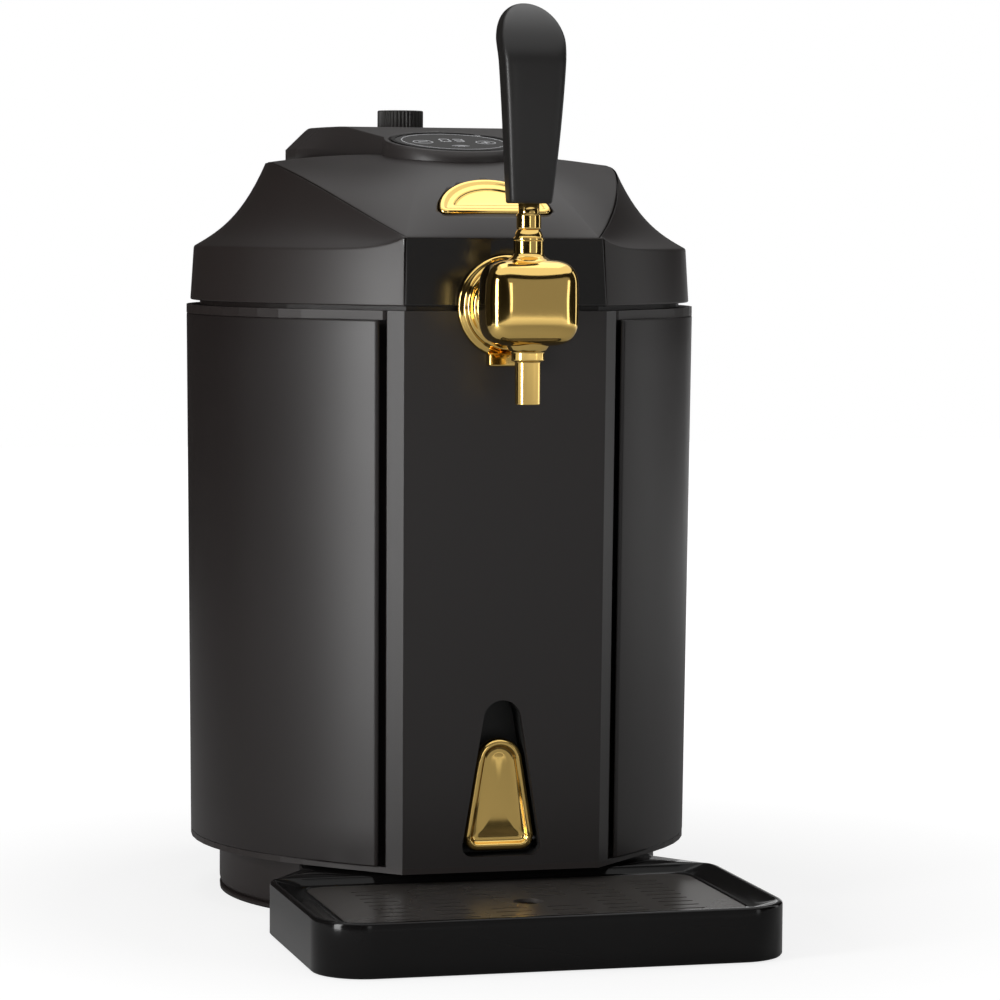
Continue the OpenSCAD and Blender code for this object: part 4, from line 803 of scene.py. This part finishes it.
class DISPENSER_OT_knob(Operator):
    """Pressure knob: a turned cap whose rim is drawn in by a clipped cosine, once for each rib"""
    bl_idname = "dispenser.knob"
    bl_label = "Pressure knob"

    def execute(self, context):
        p = context.scene.dispenser_console
        r, low = p.knob_radius, p.top + 0.3 * MM
        high, deep = low + p.knob_height, 0.28 * MM
        prof = turned([(0, low), (r, low), (r, high), (r * .72, high), (r * .70, high - .5 * MM),
                       (0, high - .5 * MM)], [0, .3 * MM, .9 * MM, .2 * MM, .2 * MM, 0])
        knob = spun(prof, p.flutes * 10, (0, p.knob_y, 0))
        turn = np.linspace(0, 2 * math.pi, p.flutes * 10, endpoint=False)[:, None]
        wave = np.clip(np.cos(turn * p.flutes) * 1.6, -1, 1) * deep - deep
        wave = wave * (prof[:, 0] > r * .9)[None]
        knob[..., 0] += wave * np.cos(turn)
        knob[..., 1] += wave * np.sin(turn)
        grid_piece("knob_skin", knob, "knob", ["pressure_knob"], "knob",
                   close_v=False)
        return {"FINISHED"}


class DISPENSER_OT_marks(Operator):
    """Display marks: flat strokes on the glass, for touch keys and a number"""
    bl_idname = "dispenser.marks"
    bl_label = "Display marks"

    def execute(self, context):
        p = context.scene.dispenser_console
        strokes = []

        def ring(cx, cy, r, a0, a1, w=0.55):
            t = np.linspace(a0, a1, 25)
            way = np.stack([np.cos(t), np.sin(t)], -1)
            strokes.append(np.stack([way * (r + half) + (cx, cy) for half in (-w / 2, w / 2)], 1))

        def bar(x0, y0, x1, y1, w=0.9):
            d = np.array([x1 - x0, y1 - y0])
            n = np.array([-d[1], d[0]]) / np.linalg.norm(d) * w / 2
            q = np.array([(x0, y0), (x1, y1)])
            strokes.append(np.stack([q - n, q + n], 1))

        for cx in (-17, 17):
            ring(cx, -2, 5.2, 0, 2 * math.pi)
            bar(cx - 2.4, -2, cx + 2.4, -2)
        bar(17, -4.4, 17, 0.4)
        for k in range(3):
            ring(0, -19, 2.2 + 1.7 * k, 0.6, math.pi - 0.6)
        for dx, on in ((-3.6, "abcdef"), (3.6, "abcdg")):
            segs = {"a": (-2, 9, 2, 9), "b": (2.4, 8.4, 2.4, 5), "c": (2.4, 4, 2.4, .6),
                    "d": (-2, 0, 2, 0), "e": (-2.4, 4, -2.4, .6), "f": (-2.4, 8.4, -2.4, 5),
                    "g": (-2, 4.5, 2, 4.5)}
            for key in on:
                x0, y0, x1, y1 = segs[key]
                bar(x0 + dx, y0, x1 + dx, y1)
        ring(0, 0, 27.6, 0, 2 * math.pi, 0.45)
        for k, stroke in enumerate(strokes):
            x, y = stroke[..., 0] * MM, stroke[..., 1] * MM
            top = np.stack([x, y * math.cos(p.tilt) - p.pod_y,
                            y * math.sin(p.tilt) + p.pod_z + 0.03 * MM], -1)
            low = top - np.array([0, 0, 0.05 * MM])
            grid = np.concatenate([top, low[:, ::-1]], 1)
            ends = [grid.mean(1, keepdims=True)[i:i + 1].repeat(4, 1) for i in (0, len(grid) - 1)]
            grid = np.concatenate([ends[0], grid, ends[1]])
            grid_piece(f"mark_{k}", grid, "lid", [], "mark", close_u=False)
        return {"FINISHED"}


def dense(grid):
    """Adds points where neighbours of a closed grid of rings lie more than 2.4 mm apart."""
    for axis in (0, 1):
        parts = []
        count = grid.shape[axis] - (axis == 1)
        for j in range(count):
            here, there = grid.take(j, axis), grid.take((j + 1) % grid.shape[axis], axis)
            gap = np.linalg.norm(here - there, axis=-1).max()
            n = max(1, int(gap / (2.4 * MM)))
            parts += [here + (there - here) * (k / n) for k in range(n)]
        if axis == 1:
            parts.append(grid.take(-1, 1))
        grid = np.stack(parts, axis)
    return grid


def slab(low, high, r, crown=0.0):
    """Block between two corners whose edges are rounded with radius r: each unit normal times r
    plus the sign of the normal times the half sizes less r; its faces fall by crown to their
    borders with the square of the way from their middle."""
    low, high = np.asarray(low), np.asarray(high)
    half = (high - low) / 2 - r
    u = np.linspace(0, 2 * math.pi, 97)[:-1] + math.pi / 96
    v = np.linspace(-math.pi / 2, math.pi / 2, 48)
    n = np.stack([np.cos(u)[:, None] * np.cos(v), np.sin(u)[:, None] * np.cos(v),
                  0 * u[:, None] + np.sin(v)], -1)
    box = n * r + np.sign(n) * half
    if crown:
        box = dense(box)
    ends = [np.broadcast_to([[[0, 0, s * (half[2] + r)]]], (len(box), 1, 3)) for s in (-1, 1)]
    box = np.concatenate([ends[0], box, ends[1]], 1)
    share = np.abs(box) / (half + r)
    for k in range(3):
        others = share[..., [j for j in range(3) if j != k]]
        box[..., k] *= 1 - crown / (half[k] + r) * (others ** 2).sum(-1) * share[..., k] ** 8
    return box + (low + high) / 2


class DISPENSER_OT_tap(Operator):
    """Tap: a box whose edges are parts of a sphere, and turned collars, flange and spout"""
    bl_idname = "dispenser.tap"
    bl_label = "Tap"

    def execute(self, context):
        p = context.scene.dispenser_tap
        half = np.array([p.width, p.depth, p.height]) / 2
        middle = np.array([0, -p.y - 1 * MM, p.z])
        box = slab(middle - half, middle + half, p.rounding, 1.7 * MM)
        made = [("tap_body_skin", box, "tap_body")]
        yf, z = -p.wall, p.flange_z
        neck = turned([(0, -.170), (.0105, -.170), (.0105, -.1560), (.0135, -.1492), (.0135, -.149),
                       (0, -.149)], [0, 0, .003, 0, 0, 0])
        made.append(("tap_neck_skin", spun(neck, 96, (0, 0, z), "y"), None))
        f = p.flange
        steps = [(0, yf - 10.6 * MM), (f - 8.6 * MM, yf - 10.6 * MM), (f - 7.6 * MM, yf - 8 * MM),
                 (f - 4.4 * MM, yf - 7.6 * MM), (f - 3.4 * MM, yf - 4.6 * MM),
                 (f - .4 * MM, yf - 4 * MM), (f, yf - .4 * MM), (0, yf - .4 * MM)]
        flange = turned(steps, [0] + [1.2 * MM] * 6 + [0], 7)
        made.append(("tap_flange_skin", spun(flange, 128, (0, 0, z), "y"), "tap_flange"))
        z0 = p.z - p.height / 2
        spout = turned([(.0049, p.spout + .001), (.0049, p.spout), (.0062, p.spout),
                        (.0064, z0 - .0075), (.0083, z0 - .007), (.0083, z0 - .0026),
                        (.0094, z0 - .0020), (.0125, z0 + .003), (0, z0 + .003)],
                       [0, .0002, .0004, .0004, .0007, .0006, .0006, .001, 0])
        bore = np.array([(0, z0 - .01), (.0049, z0 - .01)])
        made.append(("tap_spout_skin", spun(np.concatenate([bore, spout]), 96, (0, -p.y, 0)),
                     "tap_spout"))
        c, pivot = p.collar, p.collar + 9.8 * MM
        seat = turned([(0, c - .006), (.0136, c - .006), (.0122, c - .0012), (.0090, c + .0006),
                       (.0082, c + .0012), (.0074, c + .0026), (.0074, c + .0088),
                       (.0077, c + .0091), (.0077, c + .0102), (.0071, c + .0104),
                       (.0071, c + .0106)],
                      [0, .0004, .0024, .0012, .0008, .0008, .0002, .0003, .0003, .0001, 0], 7)
        t = np.linspace(.12, math.pi / 2, 14)
        dome = np.stack([.0071 * np.cos(t), pivot + .0071 * np.sin(t)], -1)
        made.append(("lever_collar_skin", spun(np.concatenate([seat, dome]), 96, (0, -p.y, 0)),
                     "lever_collar"))
        tab = np.array([[-.0105, yf - .0078, .2858], [.0105, yf - .0002, .2925]])
        made.append(("tap_tab_skin", slab(tab[0], tab[1], .0012), None))
        for name, grid, node in made:
            grid_piece(name, grid, "housing", [node] if node else [], "gold",
                       close_v=False)
        t = np.linspace(0, math.asin(.0058 / .00745), 10)
        hollow = np.stack([.00745 * np.sin(t), pivot + .00745 * np.cos(t)], -1)
        stem = turned([(.0058, pivot + .0048), (.0061, pivot + .0053), (.0061, c + .0215),
                       (.0052, c + .0222), (.0052, c + .0275), (0, c + .0275)],
                      [0, .0002, .0005, .0003, 0, 0])
        grid_piece("tap_lever_skin", spun(np.concatenate([hollow, stem]), 96, (0, -p.y, 0)),
                   "tap_handle_lever", ["tap_lever"], "gold", close_v=False)
        return {"FINISHED"}


class DISPENSER_OT_handle(Operator):
    """Tap handle: rounded rectangles along an upright path, widening from the foot and closed by
    a dome; half width = foot + widening times t to the 0.85, and the middle line leaves the
    axis by curl times ((t - 0.7) / 0.3) to the 1.6 less bow times sin(150 degrees times t)"""
    bl_idname = "dispenser.handle"
    bl_label = "Tap handle"

    def execute(self, context):
        p = context.scene.dispenser_tap
        t = np.concatenate([[0, 0, .004, .01], np.linspace(.03, .74, 26),
                            .76 + .24 * np.sin(np.linspace(0, math.pi / 2, 26))])
        dome = np.sqrt(np.maximum(0, 1 - (np.maximum(0, t - .76) / .24) ** 2.4))
        foot_w, wider, foot_d, deeper, edge = 10.6, 6, 7.1, 1.4, 0.36
        w = (foot_w + wider * np.minimum(1, t / .82) ** .85) * dome
        d = (foot_d + deeper * np.sin(np.minimum(1, t / .7) * math.pi / 2)) * dome
        lean = p.curl * np.maximum(0, (t - .7) / .3) ** 1.6 - p.bow * np.sin(150 * DEG * t)
        shrink = np.ones_like(t)
        shrink[:4] = [0, .93, .98, 1]
        w, d = w * shrink * MM, d * shrink * MM
        a = np.linspace(0, 2 * math.pi, 97)[:-1] + math.pi / 96
        cx = np.sign(np.cos(a)) * np.abs(np.cos(a)) ** edge
        cy = np.sign(np.sin(a)) * np.abs(np.sin(a)) ** edge
        x = cx[:, None] * w
        y = cy[:, None] * d - p.y + lean
        z = np.broadcast_to(p.handle_low + p.handle * t, x.shape)
        grid_piece("tap_handle_skin", np.stack([x, y, z], -1), "tap_handle_lever",
                   ["tap_handle"], "handle", close_v=False)
        return {"FINISHED"}


def wedge(low, h, inset):
    """Outline round one circle at the top and one in each foot corner, joined by tangents."""
    top_r, foot_r, half_w = 12.3, 7.5, 18.4
    t = np.linspace(0, 2 * math.pi, 121)[:-1]
    ring = np.stack([np.cos(t), np.sin(t)], -1)
    foot = max(.6, foot_r - inset)
    x, y = half_w - inset - foot, low + inset + foot
    points = np.concatenate([ring * (top_r - inset) + (0, low + h - top_r), ring * foot + (x, y),
                             ring * foot + (-x, y)])
    middle = np.array([0, low + h * .42])
    a = np.arange(-180, 180, 1) * DEG
    way = np.stack([np.cos(a), np.sin(a)], -1)
    reach = ((points - middle)[None] * way[:, None]).sum(-1).max(1)
    after, wa = np.roll(reach, -1), np.roll(a, -1)
    det = np.sin(wa - a)
    return middle + np.stack([(reach * np.sin(wa) - after * np.sin(a)) / det,
                              (after * np.cos(a) - reach * np.cos(wa)) / det], -1)


class DISPENSER_OT_lever(Operator):
    """Pull lever: outlines of the rounded wedge at several insets, bevelled to a hollow face"""
    bl_idname = "dispenser.lever"
    bl_label = "Pull lever"

    def execute(self, context):
        low, h, y0 = 39.4, 57.5, -132.1
        a = np.linspace(0, 2 * math.pi, 288, endpoint=False)
        c = np.array([0, low + h * .42])
        rows = []
        for inset, y in ((1.2, 5.4), (.3, 5.0), (0, 4.4), (0, 2.6), (.25, 1.5), (.8, .7),
                         (1.7, .15), (2.9, 0), (3.6, .25), (4.0, .9), (4.3, 1.7), (4.8, 2.2),
                         (6.0, 2.45), (8.0, 2.3), (10.0, 2.1)):
            r = star(wedge(low, h, inset), c, a)
            rows.append(np.stack([c[0] + r * np.cos(a), y0 + y + 0 * a, c[1] + r * np.sin(a)], -1))
        grid = np.stack(rows, 1) * MM
        back = np.broadcast_to(np.array([0, y0 + 5.4, low + h * .42]) * MM, (288, 1, 3))
        face = np.broadcast_to(np.array([0, y0 + 2.0, low + h * .42]) * MM, (288, 1, 3))
        grid_piece("pull_lever_skin", np.concatenate([back, grid, face], 1), "tray_lever",
                   ["pull_lever"], "gold", close_v=False)
        return {"FINISHED"}


class DISPENSER_OT_tray(Operator):
    """Drip tray: closed outlines round one middle, one for each change of its cross-section,
    joined along equal directions"""
    bl_idname = "dispenser.tray"
    bl_label = "Drip tray"

    def execute(self, context):
        p = context.scene.dispenser_tray
        w, f, top = p.width / 2, -p.front, p.height
        centre = np.array([0, -0.185])

        def outer(i):
            side = [(w - i, f + i), (w - i, -.126), (.0935 - i * .3, -.0925 - i * .5)]
            arc_end = math.asin(.0935 / (p.rear + i)) - 0.02
            arc = [((p.rear + i) * math.sin(s), -(p.rear + i) * math.cos(s))
                   for s in np.linspace(arc_end, -arc_end, 40)]
            left = [(-x, y) for x, y in side[::-1]]
            corners = side + arc + left
            radii = [p.corner - i, .012 - i, .003] + [0] * len(arc) + [.003, .012 - i, p.corner - i]
            return rounded(corners, radii, 20)

        def pocket(i, rear, corner, back):
            x, y = w - i, f + i
            return rounded([(x, y), (x, rear), (-x, rear), (-x, y)],
                           [corner, back, back, corner], 20)

        b, g = p.border, p.grille_rear
        low = top - p.drop
        levels = [(outer(.003), .0004), (outer(.0008), .0006), (outer(0), .0016),
                  (outer(0), top - .0016), (outer(.0002), top - .0008), (outer(.0006), top - .0003),
                  (outer(.0014), top),
                  (pocket(.0026, -.1206, p.corner - .0026, .004), top),
                  (pocket(.0031, -.1208, p.corner - .0031, .004), top - .0002),
                  (pocket(.0035, -.1210, p.corner - .0035, .004), top - .0006),
                  (pocket(.0142, -.1222, p.corner - .0142, .005), low + .0003),
                  (pocket(.0150, -.1225, p.corner - .015, .005), low),
                  (pocket(b - .0004, -g + .0004, .0125, .0125), low),
                  (pocket(b - .0002, -g + .0002, .0125, .0125), low - .0004),
                  (pocket(b - .0002, -g + .0002, .0125, .0125), low - .0020),
                  (pocket(b + .004, -g - .004, .009, .009), low - .0020),
                  (pocket(b + .005, -g - .005, .009, .009), .0032)]
        a = np.linspace(0, 2 * math.pi, 720, endpoint=False)
        rows = []
        for shape, z in levels:
            r = star(shape, centre, a)
            rows.append(np.stack([r * np.cos(a), centre[1] + r * np.sin(a), z + 0 * a], -1))
        first = np.broadcast_to([[[0, -.185, .0004]]], (720, 1, 3))
        last = np.broadcast_to([[[0, -.185, .0030]]], (720, 1, 3))
        grid = np.concatenate([first, np.stack(rows, 1), last], 1)
        grid_piece("drip_tray_skin", grid, "tray", ["drip_tray"], "gloss",
                   close_v=False)
        return {"FINISHED"}


# ---------------------------------------------------------------- stage

def area_light(name, glow, size, turn, rise, away, aim):
    """Soft box of that radiance and size, seen from the height aim on the middle axis at the
    angle turn (0 in front, positive to +X) and rise above the level."""
    lamp = bpy.data.lights.new(name, "AREA")
    lamp.shape = "RECTANGLE"
    lamp.size, lamp.size_y = size
    lamp.energy = glow * math.pi * size[0] * size[1] * bpy.context.scene.dispenser_stage.power
    way = Vector((math.sin(turn * DEG) * math.cos(rise * DEG),
                  -math.cos(turn * DEG) * math.cos(rise * DEG), math.sin(rise * DEG)))
    thing = bpy.data.objects.new(name, lamp)
    thing.location = Vector((0, 0, aim)) + way * away
    thing.rotation_euler = (-way).to_track_quat("-Z", "Y").to_euler()
    bpy.context.scene.collection.objects.link(thing)


def seen_rays(f, gloss=1.0):
    """1 for camera and transmission rays, gloss for glossy rays and 0 for all others."""
    camera, glass, shine = (f.node("ShaderNodeLightPath", f"Is {kind} Ray")
                            for kind in ("Camera", "Transmission", "Glossy"))
    return f.math("MAXIMUM", camera, f.math("MAXIMUM", glass, shine * gloss))


def stage_floor():
    """Floor whose glow makes it white for camera and glass, and for gloss from 1 m away on. Its
    paint is darker for camera rays, which makes the object's shadow in it paler. Its glow is
    weaker within 0.7 m of the middle: a painted shadow round the object."""
    f = Finish("floor")
    plain = f.mix(f.noise(2.0), rgb(.70, .70, .70), rgb(.72, .72, .72))
    shown = f.mix(f.node("ShaderNodeLightPath", "Is Camera Ray"), plain, rgb(.30, .30, .30))
    away = f.node("ShaderNodeVectorMath", 1, {"operation": "LENGTH"},
                  i0=f.node("ShaderNodeTexCoord", "Object"))
    # glow grows from 0.8 at 0.2 m to 1.06 at 0.7 m from the middle: painted shadow round the object
    glow = seen_rays(f, f.ramp(away, 1.0, 3.0)) * (f.ramp(away, 0.2, 0.7) * 0.26 + 0.8)
    f.end(f.node("ShaderNodeAddShader", i0=f.node("ShaderNodeBsdfDiffuse", Color=shown),
                 i1=f.node("ShaderNodeEmission", Strength=glow)))
    s = 4.0
    mesh = bpy.data.meshes.new("floor")
    mesh.from_pydata([(-s, -s, 0), (s, -s, 0), (s, s, 0), (-s, s, 0)], [], [(0, 1, 2, 3)])
    floor = bpy.data.objects.new("floor", mesh)
    floor.data.materials.append(f.material)
    bpy.context.scene.collection.objects.link(floor)
    return floor


def stage_wall():
    """Dark wall that the camera sees through: a ring of radius 2.8 m, or 1.4 m beyond 108 degrees
    to the left, whose lower edge lies 0.5 m higher beyond 140 degrees to the right."""
    f = Finish("wall")
    paint = f.mix(f.noise(2.0), rgb(.05, .045, .04), rgb(.06, .055, .05))
    f.end(f.node("ShaderNodeMixShader", i0=f.node("ShaderNodeLightPath", "Is Camera Ray"),
                 i1=f.node("ShaderNodeBsdfDiffuse", Color=paint),
                 i2=f.node("ShaderNodeBsdfTransparent")))
    a = np.linspace(-190 * DEG, 170 * DEG, 121)[:, None]
    z = np.array([0.001, 2.2]) + (a > 140 * DEG) * np.array([0.5, 0])
    radius = 2.8 - 1.4 * np.clip((-a / DEG - 100) / 8, 0, 1) + 0 * z
    ring = np.stack([radius * np.sin(a), -radius * np.cos(a), z], -1)
    wall = surface("wall", ring, close_u=False, close_v=False)
    wall.data.materials.append(f.material)
    return wall


def stage_world(scene):
    """World of strength 1 for camera, glass and gloss, and 0.36 for the light on matt faces."""
    scene.world = bpy.data.worlds.new("studio")
    f = Finish("studio", scene.world)
    f.end(f.node("ShaderNodeBackground", Color=rgb(1, 1, 1),
                 Strength=f.node("ShaderNodeMapRange", Value=seen_rays(f), To_Min=0.36)))


def stage_camera(scene, p):
    """Camera at its place: it looks along the yaw and pitch, and rolls about that line."""
    lens = bpy.data.cameras.new("camera")
    lens.sensor_width, lens.sensor_fit = 36.0, "HORIZONTAL"
    lens.lens = p.lens
    lens.clip_end = 20
    camera = bpy.data.objects.new("camera", lens)
    sy, cy, sp, cp = (math.sin(p.yaw), math.cos(p.yaw), math.sin(p.pitch), math.cos(p.pitch))
    ahead = np.array([sy * cp, cy * cp, -sp])
    right = np.array([cy, -sy, 0])
    up = np.cross(right, ahead)
    sr, cr = math.sin(p.roll), math.cos(p.roll)
    right, up = right * cr + up * sr, up * cr - right * sr
    matrix = Matrix.Identity(4)
    for i in range(3):
        matrix[i][0], matrix[i][1], matrix[i][2] = right[i], up[i], -ahead[i]
        matrix[i][3] = p.camera[i]
    camera.matrix_world = matrix
    scene.collection.objects.link(camera)
    scene.camera = camera


# name, radiance, (width, height) in metres, turn and rise in degrees, distance, height of the aim
LIGHTS = (
    ("key", 14.5, (0.3, 1.1), -63, 0, 1.3, 0.18),
    ("left strip", 2.0, (0.3, 0.6), -2, 4, 2.6, 0.24),
    ("rear", 0.1, (1.4, 1.3), 158, 20, 2.6, 0.24),
    ("right strip", 1.6, (0.3, 0.8), 45, 4, 2.2, 0.24),
    ("right", 1.2, (0.4, 1.3), 100, 12, 1.8, 0.24),
    ("front", 0.28, (2.6, 1.3), 20, 8, 2.4, 0.24),
    ("top", 0.8, (1.4, 1.4), 160, 75, 1.8, 0.24),
)


class DISPENSER_OT_stage(Operator):
    """Floor, dark studio wall, light and camera"""
    bl_idname = "dispenser.stage"
    bl_label = "Stage"

    def execute(self, context):
        scene = context.scene
        stage_floor()
        stage_wall()
        stage_world(scene)
        for light in LIGHTS:
            area_light(*light)
        stage_camera(scene, scene.dispenser_stage)
        scene.view_settings.view_transform = "Standard"
        return {"FINISHED"}


# ---------------------------------------------------------------- panel

BUILD = (DISPENSER_OT_finishes, DISPENSER_OT_carried, DISPENSER_OT_sheets, DISPENSER_OT_head,
         DISPENSER_OT_rim, DISPENSER_OT_lid, DISPENSER_OT_button, DISPENSER_OT_console,
         DISPENSER_OT_knob, DISPENSER_OT_marks, DISPENSER_OT_tap, DISPENSER_OT_handle,
         DISPENSER_OT_lever, DISPENSER_OT_tray, DISPENSER_OT_stage)
GROUPS = (("colour", DISPENSER_PG_colour), ("body", DISPENSER_PG_body),
          ("console", DISPENSER_PG_console), ("tap", DISPENSER_PG_tap),
          ("tray", DISPENSER_PG_tray), ("stage", DISPENSER_PG_stage))


class DISPENSER_PT_sidebar(Panel):
    """Settings and steps of the dispenser"""
    bl_label = "Dispenser"
    bl_space_type = "VIEW_3D"
    bl_region_type = "UI"
    bl_category = "Dispenser"

    def draw(self, context):
        for name, group in GROUPS:
            box = self.layout.box()
            box.label(text=name.capitalize())
            settings = getattr(context.scene, "dispenser_" + name)
            for key in group.__annotations__:
                box.prop(settings, key)
        for step in BUILD:
            self.layout.operator(step.bl_idname)


def register():
    for name, group in GROUPS:
        bpy.utils.register_class(group)
        setattr(bpy.types.Scene, "dispenser_" + name, PointerProperty(type=group))
    for step in BUILD + (DISPENSER_PT_sidebar,):
        bpy.utils.register_class(step)


def unregister():
    for step in (DISPENSER_PT_sidebar,) + BUILD[::-1]:
        bpy.utils.unregister_class(step)
    for name, group in GROUPS[::-1]:
        delattr(bpy.types.Scene, "dispenser_" + name)
        bpy.utils.unregister_class(group)


def main():
    register()
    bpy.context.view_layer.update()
    for step in BUILD:
        group, name = step.bl_idname.split(".")
        getattr(getattr(bpy.ops, group), name)()


if __name__ == "__main__":
    main()
